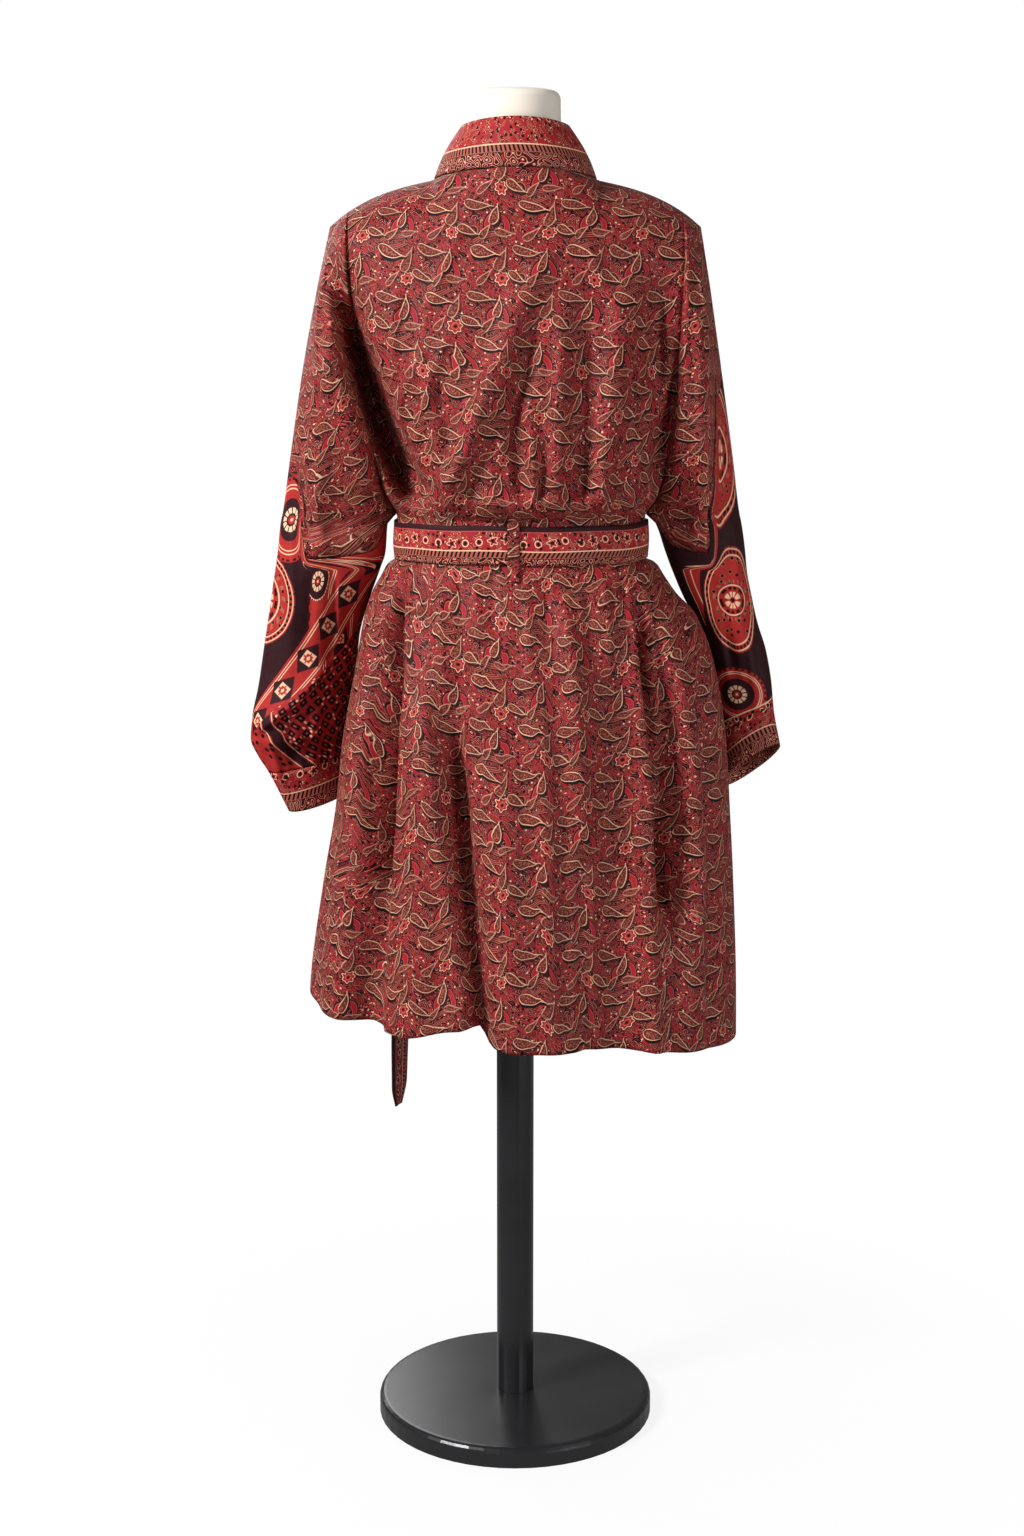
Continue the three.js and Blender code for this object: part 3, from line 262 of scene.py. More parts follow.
# finer creases of the same kind: gathers over and under the belt, pulls and tucks
BACK_CREASES = [
    (1062, 988.5, (92, 96, 98), (7, 6), 4.8),
    (1048, 988.5, (78, 76, 74), (6, 5), -4.5),
    (1072, 988.5, (58, 60, 63), (7, 5), 3.9),
    (1040, 988.5, (44, 43, 41), (5, 5), -3.9),
    (1055, 988.5, (26, 24, 21), (6, 5), 4.2),
    (1034, 988.5, (9, 10, 10), (5, 4), -3.3),
    (1080, 988.5, (-18, -17, -15), (6, 5), 5.1),
    (1046, 988.5, (-27, -25, -24), (5, 4), -4.5),
    (1090, 988.5, (-47, -44, -40), (7, 5), 4.5),
    (1060, 988.5, (-71, -70, -66), (6, 5), -4.8),
    (1068, 988.5, (-84, -86, -86), (7, 6), 4.2),
    (1044, 988.5, (-102, -101, -99), (6, 5), -3.6),
    (1075, 988.5, (-117, -116, -112), (7, 6), 4.5),
    (1188, 1040, (60, 86, 104), (9, 7), 5.1),
    (1160, 1030, (96, 116, 122), (8, 6), 4.5),
    (1236, 1090, (112, 122, 118), (10, 8), 4.8),
    (1215, 1085, (-148, -152, -150), (7, 7), 4.8),
    (1180, 1020, (-160, -160, -148), (6, 7), -4.8),
    (1150, 1010, (-128, -134, -132), (8, 6), 6.3),
    (1282, 1180, (52, 70, 92), (12, 9), 3.6),
    (1278, 1170, (-62, -84, -110), (12, 9), 3.3),
    (1165, 1035, (22, 36, 56), (8, 7), 4.2),
    (1130, 1020, (-8, 2, 18), (7, 6), -3.6),
    (836, 600, (126, 124, 118), (7, 10), 4.5),
    (760, 520, (72, 70, 66), (10, 14), 4.8),
    (700, 440, (12, 8, 4), (10, 14), 4.5),
    (720, 470, (-40, -46, -50), (10, 13), -5.4),
    (690, 430, (-76, -80, -88), (10, 15), 6.0),
    (640, 420, (-132, -138, -144), (10, 13), 6.0),
    (620, 430, (-196, -202, -206), (9, 12), -6.0),
    (760, 500, (206, 212, 214), (8, 12), -6.0),
    (700, 430, (150, 154, 152), (8, 12), 5.4),
]
FRONT_CREASES = [
    (1060, 988.5, (96, 97, 98), (7, 6), 4.2),
    (1046, 988.5, (80, 80, 78), (6, 5), -3.9),
    (1056, 988.5, (52, 50, 48), (7, 5), 3.9),
    (1040, 988.5, (22, 20, 18), (6, 5), -3.4),
    (1050, 988.5, (-6, -8, -10), (6, 5), 3.6),
    (1062, 988.5, (-70, -72, -74), (7, 6), 3.9),
    (1042, 988.5, (-92, -92, -90), (6, 5), -3.6),
    (1066, 988.5, (-112, -112, -108), (7, 6), 4.2),
    (1160, 1030, (138, 128, 112), (8, 7), 4.4),
    (1150, 1024, (-140, -130, -114), (8, 7), 4.4),
    (760, 470, (148, 156, 160), (9, 13), 5.2),
    (720, 440, (50, 52, 56), (10, 14), 4.4),
    (740, 450, (-84, -90, -96), (10, 14), 5.2),
    (700, 430, (-190, -196, -200), (9, 12), -5.2),
]

# gathers under the belt, which die out slowly
BACK_GATHERS = [
    (942.5, 802, (104, 107, 109), (5, 11), 6.0),
    (942.5, 836, (90, 90, 92), (5, 10), -5.6),
    (942.5, 771, (74, 74, 70), (6, 12), 6.4),
    (942.5, 855, (58, 56, 54), (5, 10), -4.9),
    (942.5, 809, (40, 38, 38), (6, 11), 5.2),
    (942.5, 844, (22, 21, 20), (5, 10), -4.5),
    (942.5, 730, (-12, -14, -18), (6, 13), 6.8),
    (942.5, 821, (-30, -32, -34), (5, 11), -6.0),
    (942.5, 760, (-48, -52, -56), (6, 12), 5.6),
    (942.5, 783, (-70, -75, -80), (6, 11), -6.0),
    (942.5, 718, (-88, -96, -104), (6, 12), 6.8),
    (942.5, 802, (-106, -114, -122), (6, 11), -5.6),
]
FRONT_GATHERS = [
    (942.5, 787, (98, 100, 104), (6, 12), 5.5),
    (942.5, 809, (78, 78, 80), (5, 11), -4.9),
    (942.5, 768, (44, 44, 46), (6, 12), 5.2),
    (942.5, 817, (8, 8, 8), (5, 11), -4.5),
    (942.5, 779, (-18, -20, -22), (6, 12), 4.9),
    (942.5, 768, (-68, -72, -76), (6, 12), 5.5),
    (942.5, 825, (-92, -98, -102), (5, 11), -4.9),
    (942.5, 760, (-112, -118, -126), (6, 12), 5.5),
]

# fold edges, where the cloth lies over and stops short: corners (x, z), height, reach, lip width
BACK_LEDGES = [
    (((186, 1262), (199, 1190), (203, 1080), (203, 1020), (200, 950)), 9, 34, 4),
    (((-176, 1255), (-192, 1180), (-195, 1080), (-196, 940)), -10, 30, 4),
    (((84, 830), (76, 700), (58, 580), (41, 440)), 15, 60, 4),
    (((121, 940), (126, 880), (126, 800), (134, 660)), 17, 36, 5),
    (((-124, 938), (-142, 860), (-152, 780), (-158, 660)), 13, 40, 5),
    (((-172, 905), (-180, 850), (-182, 790)), -6, 20, 3),
    (((-118, 1160), (-124, 1090), (-122, 1030), (-116, 1000)), -9, 40, 5),
    (((14, 1160), (38, 1100), (64, 1040), (80, 1004)), -5, 30, 4),
    (((-2, 1240), (6, 1190), (24, 1130)), 4, 26, 4),
]

# folds of the hanging sleeves, as above, and the left one's overhanging fold edge
SLEEVE_FOLDS = {
    ("left", 1): [
        (1010, 790, (236, 232, 240), (9, 12), 5),
        (955, 800, (186, 192, 200), (7, 9), -6),
        (940, 830, (212, 214, 222), (9, 8), -4),
        (790, 700, (246, 238, 232), (8, 9), -6),
        (800, 690, (206, 212, 218), (8, 8), 5),
        (760, 675, (262, 252, 244), (6, 7), 5),
    ],
    ("left", -1): [(1000, 780, (220, 226, 236), (10, 14), 6), (930, 700, (196, 206, 212), (8, 10), -6)],
    ("right", 1): [
        (1000, 800, (-226, -232, -244), (8, 10), 5),
        (930, 790, (-208, -222, -236), (7, 8), -5),
        (880, 760, (-240, -250, -258), (7, 8), 4),
    ],
    ("right", -1): [(1000, 790, (-206, -222, -240), (10, 12), 6), (900, 760, (-228, -238, -248), (8, 9), -5)],
}
SLEEVE_LEDGES = {
    ("left", 1): [(((281, 752), (256, 771), (231, 789), (211, 810), (188, 838)), -11, 46, 5)],
}
SLEEVE_PUFF, PUFF_REACH = 4.5, 26


# ---------------------------------------------------------------- numbers


def mix(a, b, t):
    return a + (b - a) * t


def smooth(value):
    t = np.clip(value, 0, 1)
    return t * t * (3 - 2 * t)


def along(table, places):
    """The other columns of a table at many places of its first one, on a soft curve through the rows."""
    rows = np.array(sorted(table), float)
    keys, values = rows[:, 0], rows[:, 1:]
    gaps = np.diff(keys)[:, None]
    steps = np.diff(values, axis=0) / gaps
    slopes = np.zeros_like(values)
    slopes[0], slopes[-1] = steps[0], steps[-1]
    low, high = steps[:-1], steps[1:]
    same = low * high > 0
    slopes[1:-1] = np.where(same, 2 * low * high / np.where(same, low + high, 1), 0)
    places = np.asarray(places, float)
    i = np.clip(np.searchsorted(keys, places, side="right") - 1, 0, len(keys) - 2)
    span = (keys[i + 1] - keys[i])[..., None]
    t = np.clip((places - keys[i]) / (keys[i + 1] - keys[i]), 0, 1)[..., None]
    t2, t3 = t * t, t**3
    curve = (
        (2 * t3 - 3 * t2 + 1) * values[i]
        + (t3 - 2 * t2 + t) * slopes[i] * span
        + (3 * t2 - 2 * t3) * values[i + 1]
        + (t3 - t2) * slopes[i + 1] * span
    )
    return np.moveaxis(curve, -1, 0)


# ---------------------------------------------------------------- the cloth's surface


def shoulder_z(x):
    t = np.maximum(0, (np.abs(x) - NECK_HALF) / (SHOULDER_END - NECK_HALF))
    return SHOULDER_Z - SHOULDER_FALL * t - SHOULDER_ROLL * t**3


def top_edge(face, x):
    """Height and depth of the top edge of the back (face 1) or the front (face -1)."""
    across = np.minimum(1, np.abs(x) / NECK_HALF)
    arch = np.sqrt(1 - across**2)
    rise = NECK_RISE * arch**2 if face > 0 else 0
    level = np.where(across >= 1, shoulder_z(x), SHOULDER_Z + rise)
    return level, (NECK_BACK if face > 0 else NECK_FRONT) * arch


def fold_rise(folds, x, z, tail=0.15):
    """Height of long folds that swell from their top end and die out over the tail share of their length."""
    total = np.zeros(np.broadcast(x, z).shape)
    for top, low, (x_top, x_mid, x_low), (half_top, half_low), rise in folds:
        s = np.clip((top - z) / (top - low), 0, 1)
        bend = x_top + s * (4 * x_mid - 3 * x_top - x_low)
        bend = bend + 2 * s * s * (x_top + x_low - 2 * x_mid)
        u = np.clip((x - bend) / mix(half_top, half_low, s), -1, 1)
        total += rise * (1 - u * u) ** 2 * smooth(s / 0.3) * smooth((1 - s) / tail)
    return total


def line_place(x, z, corners):
    """Signed distance from a line of corners, above 0 on its left, and the share of the way along it."""
    corners = np.array(corners, float)
    lengths = np.hypot(*np.diff(corners, axis=0).T)
    starts = np.concatenate([[0], np.cumsum(lengths)])
    best = np.full(np.broadcast(x, z).shape, 1e9)
    signed, share = np.zeros_like(best), np.zeros_like(best)
    for i, length in enumerate(lengths):
        (ax, az), (bx, bz) = corners[i], corners[i + 1]
        dx, dz = (bx - ax) / length, (bz - az) / length
        run = (x - ax) * dx + (z - az) * dz
        held = np.clip(run, 0, length)
        away = np.hypot(x - ax - held * dx, z - az - held * dz)
        side = np.sign((x - ax) * -dz + (z - az) * dx)
        side = np.where(side == 0, 1, side)
        near = away < best
        best = np.where(near, away, best)
        signed = np.where(near, side * away, signed)
        share = np.where(near, (starts[i] + np.clip(run, 0 if i else -1e9, 1e9)) / starts[-1], share)
    return signed, share


def ledge_rise(ledges, x, z, fade=0.16):
    """Cloth that lies proud up to a fold edge: it sinks slowly inwards and stops at the lip."""
    total = np.zeros(np.broadcast(x, z).shape)
    for corners, height, reach, lip in ledges:
        away, share = line_place(x, z, corners)
        away = away * np.sign(height)
        slope = np.clip(1 - away / reach, 0, 1) ** 2
        step = smooth(1 + away / lip)
        ends = smooth(share / fade) * smooth((1 - share) / fade)
        total += abs(height) * slope * step * ends
    return total


def shoulder_round(drop):
    t = np.clip(drop / SHOULDER_ROUND, 0, 1)
    return np.sqrt(1 - (1 - t) ** 2)


def relief(face, x, z):
    """How far every fold, crease and fold edge lifts the cloth off its plain shape."""
    if face > 0:
        rise = fold_rise(BACK_FOLDS, x, z) + fold_rise(BACK_CREASES, x, z)
        rise = rise + fold_rise(BACK_GATHERS, x, z, 0.85)
        return rise + ledge_rise(BACK_LEDGES, x, z)
    rise = fold_rise(FRONT_FOLDS, x, z) + fold_rise(FRONT_CREASES, x, z)
    return rise + fold_rise(FRONT_GATHERS, x, z, 0.85)


def body_point(face, x, z):
    left, right, back, front, lift, roundness = along(BODY, z)
    reach = np.where(x >= 0, left, right)
    a = np.minimum(1, np.abs(x) / reach)
    depth = back if face > 0 else front
    arch = mix(np.cos(a * np.pi / 2), np.sqrt(1 - a * a), roundness)
    top_z, top_y = top_edge(face, x)
    y = top_y + (lift + (depth - lift) * arch - top_y) * shoulder_round(top_z - z)
    at_side = np.where(z > UNDERARM_Z, 1, 1 - a**12)
    rise = relief(face, x, z) * at_side * smooth((top_z - z) / 30)
    radial = smooth((1000 - z) / 55)
    nx = radial * x / reach**2
    ny = mix(1 / depth, y / depth**2, radial)
    length = np.hypot(nx, ny)
    return np.stack([x + rise * nx / length, face * (y + rise * ny / length), z + 0 * x], -1)


def sleeve_point(side, face, turn, level):
    """A point round a sleeve: turn 0 is its underarm or inner fold line, 1 the outer one."""
    top_level = SLEEVE[side][0][0]
    out_z, out_x, out_y, in_z, in_x, in_y, back, front = along(SLEEVE[side], np.minimum(level, top_level))
    left, right, _, _, lift, _ = along(BODY, level)
    hangs = level < UNDERARM_Z
    inner = np.where(hangs, in_x, left if side == "left" else right)
    lift = np.where(hangs, 0, lift)
    way = (1 - np.cos(np.pi * turn)) / 2
    run_x, run_y = out_x - inner, out_y - in_y
    length = np.hypot(run_x, run_y)
    full = (back if face > 0 else front) * np.sin(np.pi * turn) + lift * (1 - way)
    x = mix(inner, out_x, way) - face * full * run_y / length
    y = mix(in_y, out_y, way) + face * full * run_x / length
    z = mix(in_z, out_z, way) + np.maximum(0, level - top_level)
    sign = 1 if side == "left" else -1
    at_fold = np.sin(np.pi * np.minimum(0.5, 1 - turn)) ** 0.5
    top_z, _ = top_edge(face, x)
    fade = smooth((level - SLEEVE_SEAM_Z) / 40) * smooth((top_z - z) / 30)
    rise = relief(face, sign * x, z) * at_fold * fade
    above = level - sleeve_seam(side, np.clip(turn, 0, 1))
    puff = SLEEVE_PUFF * np.sin(np.pi * np.clip(above / PUFF_REACH, 0, 1))
    rise = rise + puff * at_fold * smooth((1180 - z) / 60)
    own = fold_rise(SLEEVE_FOLDS[side, face], sign * x, z, 0.5)
    own = own + ledge_rise(SLEEVE_LEDGES.get((side, face), ()), sign * x, z)
    rise = rise + own * at_fold * (above < 0) * smooth(-above / 30)
    depth = y + face * rise
    depth = np.where(hangs, depth, depth * shoulder_round(top_z - z))
    return np.stack([sign * x, depth, z + 0 * x], -1)


def sleeve_seam(side, turn):
    return along(SLEEVE_SEAM[side], turn)[0]


# ---------------------------------------------------------------- columns and rows of cloth

UPPER_STEPS = 100
LOWER_STEPS = 132
HALF_STEPS = 62
SLEEVE_STEPS = 30


def upper_levels(top, low):
    """Row heights from the top edge to the underarm or sleeve seam, close together at the shoulder."""
    t = np.linspace(0, 1, UPPER_STEPS)[:, None]
    yoke_share = 0.42
    yoke = mix(top, YOKE_Z, np.clip(t / yoke_share, 0, 1) ** 1.5)
    rest = mix(YOKE_Z, low, np.clip((t - yoke_share) / (1 - yoke_share), 0, 1))
    return np.where(t <= yoke_share, yoke, rest)


def lower_levels(low):
    belt = np.array([988, 986, 984, 978, 970, 962, 954, 948, 943.5])
    t = np.linspace(0, 1, LOWER_STEPS - len(belt))[:, None]
    rest = mix(941.5, low, t**1.06)
    return np.concatenate([np.repeat(belt[1:, None], np.size(low), 1), rest])


def hem_height(face, x):
    return along(HEM[face], x)[0]


def back_body():
    angle = np.linspace(np.pi / 2, -np.pi / 2, 2 * HALF_STEPS + 1)
    share = np.sin(angle)

    def place(z):
        left, right = along(BODY, z)[:2]
        return share * np.where(share >= 0, left, right)

    top, _ = top_edge(1, share * TOP_HALF)
    levels = np.concatenate([
        upper_levels(top, UNDERARM_Z), lower_levels(hem_height(1, place(np.full(share.shape, 470.0))))
    ])
    points = body_point(1, place(levels), levels)
    points[..., 1] = np.maximum(points[..., 1], np.where(np.abs(share) > 0.9999, SEAM_GAP / 2, -9))
    return points


def sleeve_columns(side, face):
    """Body cloth over a sleeve, from the underarm line to the outer fold line."""
    turn = np.linspace(0, 1, SLEEVE_STEPS + 1)[1:]
    start = mix(TOP_HALF, SHOULDER_END, (1 - np.cos(np.pi * turn)) / 2)
    levels = upper_levels(shoulder_z(start), sleeve_seam(side, turn))
    points = sleeve_point(side, face, np.broadcast_to(turn, levels.shape), levels)
    points[0, :, 1] = face * SEAM_GAP / 2
    points[:, -1, 1] = face * SEAM_GAP / 2
    return points


def below_nothing(points, rows):
    """Rows that hold no cloth, so that a short column ends above a long one."""
    return np.concatenate([points, np.full((rows, *points.shape[1:]), np.nan)])


def arc(points, axis):
    """Distance along the cloth in metres, from the first row or column."""
    step = np.linalg.norm(np.diff(points, axis=axis), axis=-1) * MM
    step = np.nan_to_num(step)
    zero = np.zeros_like(np.take(step, [0], axis))
    return np.concatenate([zero, np.cumsum(step, axis)], axis)


def cloth_places(points, centre_column):
    """Place of each point on the flat cloth: across from a column, up from the yoke's level."""
    across = arc(points, 1)
    across = across - across[:, [centre_column]]
    down = arc(points, 0)
    yoke_row = int(0.42 * UPPER_STEPS)
    up = YOKE_Z * MM - (down - down[[yoke_row]])
    return np.stack([across, up], -1)


# ---------------------------------------------------------------- meshes


def cloth(name, points, places, material, wall, axis, closed=False):
    """A sheet from a grid of points in mm, faced away from an upright axis (x, y), with a thin wall."""
    rows, columns = points.shape[:2]
    valid = np.isfinite(points[..., 0])
    index = np.cumsum(valid.ravel()).reshape(valid.shape) - 1
    last = columns if closed else columns - 1
    r, c = np.meshgrid(np.arange(rows - 1), np.arange(last), indexing="ij")
    r, c = r.ravel(), c.ravel()
    d = (c + 1) % columns
    kept = valid[r, c] & valid[r, d] & valid[r + 1, c] & valid[r + 1, d]
    r, c, d = r[kept], c[kept], d[kept]
    quads = np.stack([index[r, c], index[r + 1, c], index[r + 1, d], index[r, d]], -1)
    spots = np.stack([places[r, c], places[r + 1, c], places[r + 1, c + 1], places[r, c + 1]], 1)
    flat_points = points[valid]
    corner = flat_points[quads]
    normal = np.cross(corner[:, 2] - corner[:, 0], corner[:, 3] - corner[:, 1])
    outward = corner.mean(1) - np.array([axis[0], axis[1], 0])
    outward[:, 2] = 0
    if (normal * outward).sum() < 0:
        quads, spots = quads[:, ::-1], spots[:, ::-1]
    mesh = bpy.data.meshes.new(name)
    mesh.from_pydata((flat_points * MM).tolist(), [], quads.tolist())
    layer = mesh.uv_layers.new(name="cloth")
    layer.data.foreach_set("uv", spots.reshape(-1).astype(np.float32))
    mesh.polygons.foreach_set("use_smooth", [True] * len(mesh.polygons))
    mesh.materials.append(material)
    piece = bpy.data.objects.new(name, mesh)
    bpy.context.scene.collection.objects.link(piece)
    shell = piece.modifiers.new("wall", "SOLIDIFY")
    shell.thickness = getattr(bpy.context.scene.kimono_cloth, wall)
    shell.offset = -1
    return piece


def dress(piece, nodes):
    """Rides on the frame and stands for its solids."""
    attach(piece, "root")
    if nodes:
        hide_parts(*nodes)
    return piece


# ---------------------------------------------------------------- finishes


def colour_of(name):
    return (*getattr(bpy.context.scene.kimono_colours, name), 1)


class Amount:
    """A varying amount in a material, written with plain arithmetic."""

    def __init__(self, tree, socket):
        self.tree, self.socket = tree, socket

    def reckon(self, kind, *terms):
        node = self.tree.nodes.new("ShaderNodeMath")
        node.operation = kind
        for spot, term in zip(node.inputs, terms):
            if isinstance(term, Amount):
                self.tree.links.new(term.socket, spot)
            else:
                spot.default_value = term
        return Amount(self.tree, node.outputs[0])

    def __add__(self, other):
        return self.reckon("ADD", self, other)

    def __sub__(self, other):
        return self.reckon("SUBTRACT", self, other)

    def __rsub__(self, other):
        return self.reckon("SUBTRACT", other, self)

    def __mul__(self, other):
        return self.reckon("MULTIPLY", self, other)

    def __truediv__(self, other):
        return self.reckon("DIVIDE", self, other)

    __radd__, __rmul__ = __add__, __mul__

    def does(self, kind, *others):
        return self.reckon(kind, self, *others)

    def under(self, edge, soft=0.3):
        """1 below the edge and 0 above it."""
        node = self.tree.nodes.new("ShaderNodeMapRange")
        node.interpolation_type = "SMOOTHSTEP"
        self.tree.links.new(self.socket, node.inputs["Value"])
        ends = (("From Min", edge - soft), ("From Max", edge + soft), ("To Min", 1), ("To Max", 0))
        for name, value in ends:
            node.inputs[name].default_value = value
        return Amount(self.tree, node.outputs["Result"])

    def near(self, centre, half, soft=0.3):
        """1 within half of the centre."""
        return (self - centre).does("ABSOLUTE").under(half, soft)


def least(*amounts):
    held = amounts[0]
    for amount in amounts[1:]:
        held = held.does("MINIMUM", amount)
    return held


def most(*amounts):
    held = amounts[0]
    for amount in amounts[1:]:
        held = held.does("MAXIMUM", amount)
    return held


def dye(tree, cover, over, under):
    """Lays one colour over another. Colours are sockets or names of inks."""
    node = tree.nodes.new("ShaderNodeMix")
    node.data_type = "RGBA"
    tree.links.new(cover.socket, node.inputs[0])
    for colour, spot in ((under, node.inputs[6]), (over, node.inputs[7])):
        if isinstance(colour, str):
            spot.default_value = colour_of(colour)
        else:
            tree.links.new(colour, spot)
    return node.outputs[2]


def parts_of(tree, socket):
    node = tree.nodes.new("ShaderNodeSeparateXYZ")
    tree.links.new(socket, node.inputs[0])
    return [Amount(tree, out) for out in node.outputs]


def vector_of(tree, *amounts):
    node = tree.nodes.new("ShaderNodeCombineXYZ")
    for amount, spot in zip(amounts, node.inputs):
        tree.links.new(amount.socket, spot)
    return node.outputs[0]


def noise(tree, vector, size, detail=1.0, dimensions="2D"):
    """Soft noise whose lumps are about size across."""
    node = tree.nodes.new("ShaderNodeTexNoise")
    node.noise_dimensions = dimensions
    tree.links.new(vector, node.inputs["Vector"])
    node.inputs["Scale"].default_value = 1 / size
    node.inputs["Detail"].default_value = detail
    return Amount(tree, node.outputs["Fac"])


def spots(tree, vector, size, loose=1.0):
    """Distance to the nearest of scattered spots, in spot spacings, and a shade that each spot has."""
    node = tree.nodes.new("ShaderNodeTexVoronoi")
    node.voronoi_dimensions = "2D"
    tree.links.new(vector, node.inputs["Vector"])
    node.inputs["Scale"].default_value = 1 / size
    node.inputs["Randomness"].default_value = loose
    shade = parts_of(tree, node.outputs["Color"])[0]
    return Amount(tree, node.outputs["Distance"]), shade


def group(name, inputs, outputs):
    """A new node group, with the sockets of its inputs by name."""
    tree = bpy.data.node_groups.new(name, "ShaderNodeTree")
    kinds = {"value": "NodeSocketFloat", "colour": "NodeSocketColor", "vector": "NodeSocketVector"}
    for title, kind in inputs:
        tree.interface.new_socket(name=title, in_out="INPUT", socket_type=kinds[kind])
    for title, kind in outputs:
        tree.interface.new_socket(name=title, in_out="OUTPUT", socket_type=kinds[kind])
    start, end = tree.nodes.new("NodeGroupInput"), tree.nodes.new("NodeGroupOutput")
    given = {title: start.outputs[title] for title, _ in inputs}
    return tree, given, end.inputs


def use(tree, name, **given):
    """Places a node group and links or sets its inputs. Input names have spaces for underscores."""
    node = tree.nodes.new("ShaderNodeGroup")
    node.node_tree = bpy.data.node_groups[name]
    for title, value in given.items():
        spot = node.inputs[title.replace("_", " ")]
        if isinstance(value, Amount):
            tree.links.new(value.socket, spot)
        elif isinstance(value, bpy.types.NodeSocket):
            tree.links.new(value, spot)
        else:
            spot.default_value = value
    return node.outputs


def leaf(x, y, place, degrees, length, width, bend):
    """Distance outside the outline of a paisley leaf, below 0 inside it. Its tip curls."""
    c, s = math.cos(math.radians(degrees)), math.sin(math.radians(degrees))
    dx, dy = x - place[0], y - place[1]
    a = dx * c + dy * s + length / 2
    b = dy * c - dx * s - a * a * bend
    t = (a / (0.9 * length)).does("MINIMUM", 1.0).does("MAXIMUM", 0.0)
    wide = t.does("POWER", 0.5) * (1.0 - t) * (width * 1.3)
    beyond = most(a * -1.0, a - length, a * 0.0)
    return b.does("ABSOLUTE") - wide + beyond


def make_paisley_print(repeat, row):
    """Leaves on a half drop over scrolls, dots and dark swirls. Place is in metres on the flat cloth."""
    tree, given, out = group("paisley_print", [("Place", "vector")], [("Colour", "colour")])
    flat_u, flat_v, _ = parts_of(tree, given["Place"])
    u, v = flat_u * 1000.0, flat_v * 1000.0
    plane = vector_of(tree, u, v)
    sway = noise(tree, plane, 26, 1) - 0.5
    swing = noise(tree, vector_of(tree, v, u), 30, 1) - 0.5
    u, v = u + sway * 6.0, v + swing * 6.0
    up = v / row
    odd = up.does("FLOOR").does("MODULO", 2.0).does("ABSOLUTE")
    x = ((u / repeat + odd * 0.5).does("FRACT") - 0.5) * repeat
    y = (up.does("FRACT") - 0.5) * row
    cell = vector_of(tree, x, y)
    cloud = noise(tree, cell, 15, 0)
    scroll = noise(tree, vector_of(tree, x + cloud * 34.0, y - cloud * 26.0), 13, 0)
    fine = noise(tree, vector_of(tree, x - scroll * 16.0, y + scroll * 20.0), 6.5, 0)
    # ground: crimson with maroon and near-black curls, their edges picked out in cream
    ground = dye(tree, cloud.under(0.5, 0.07), "maroon", "crimson")
    hatch = (fine * 7.0).does("FRACT")
    ground = dye(tree, hatch.near(0.5, 0.16, 0.08) * 0.4, "rose", ground)
    ground = dye(tree, hatch.near(0.02, 0.16, 0.06) * 0.75, "night", ground)
    curls = (scroll * 9.0).does("FRACT")
    ground = dye(tree, curls.near(0.2, 0.21, 0.06) * fine.under(0.6, 0.05), "night", ground)
    ground = dye(tree, curls.near(0.6, 0.15, 0.05) * 0.85, "crimson", ground)
    ground = dye(tree, curls.near(0.44, 0.032, 0.03) * fine.under(0.49, 0.04), "cream", ground)
    ground = dye(tree, curls.near(0.78, 0.03, 0.03) * (1.0 - fine.under(0.53, 0.04)), "tan", ground)
    away, shade = spots(tree, plane, 5.6)
    ground = dye(tree, away.under(0.16, 0.05) * shade.under(0.12, 0.01), "cream", ground)
    ground = dye(tree, away.under(0.24, 0.05) * shade.near(0.5, 0.12, 0.01), "night", ground)
    # a red hook, outlined in cream and black
    hook_x, hook_y = x - 31.0, y + 7.0
    hook = (hook_x * hook_x + hook_y * hook_y).does("SQRT") + hook_x * 0.12
    over = 1.0 - hook_y.under(-3.0, 0.6)
    ground = dye(tree, hook.near(9.5, 4.2, 0.4) * over, "night", ground)
    ground = dye(tree, hook.near(9.5, 2.9, 0.3) * over, "rose", ground)
    ground = dye(tree, hook.near(9.5, 2.3, 0.3) * over, "crimson", ground)
    # a curl that winds in
    sx, sy = x - 6.0, y + 12.0
    reach = (sx * sx + sy * sy).does("SQRT")
    wound = (reach / 3.4 - sy.does("ARCTAN2", sx) / (2 * math.pi)).does("FRACT")
    inside = reach.under(6.6, 0.5)
    ground = dye(tree, inside, "maroon", ground)
    ground = dye(tree, inside * wound.near(0.5, 0.14, 0.08), "tan", ground)
    ground = dye(tree, inside * wound.near(0.0, 0.2, 0.08), "night", ground)
    # a flower
    fx, fy = x + 15.0, y + 13.0
    far = (fx * fx + fy * fy).does("SQRT")
    rim = far - (fy.does("ARCTAN2", fx) * 7.0).does("COSINE") * 0.9
    ground = dye(tree, rim.under(7.6, 0.5), "night", ground)
    ground = dye(tree, rim.under(6.6, 0.3), "crimson", ground)
    ground = dye(tree, rim.near(6.0, 0.42, 0.25), "cream", ground)
    ground = dye(tree, far.near(2.9, 0.5, 0.3), "tan", ground)
    ground = dye(tree, far.under(1.4, 0.3), "night", ground)
    # two long ribbons of parallel lines
    for ribbon_x, ribbon_y, rise in ((22.0, -16.0, 0.011), (-30.0, 18.0, -0.010)):
        tx = x - ribbon_x
        ribbon = y - ribbon_y - tx * 0.2 + tx * tx * rise
        on_it = x.near(ribbon_x, 16.0, 1.0)
        ground = dye(tree, ribbon.near(0.0, 3.2, 0.4) * on_it, "night", ground)
        ground = dye(tree, ribbon.near(0.0, 2.3, 0.25) * on_it, "tan", ground)
        ground = dye(tree, ribbon.near(0.0, 1.5, 0.25) * on_it, "maroon", ground)
        ground = dye(tree, ribbon.near(0.0, 0.5, 0.25) * on_it, "rose", ground)
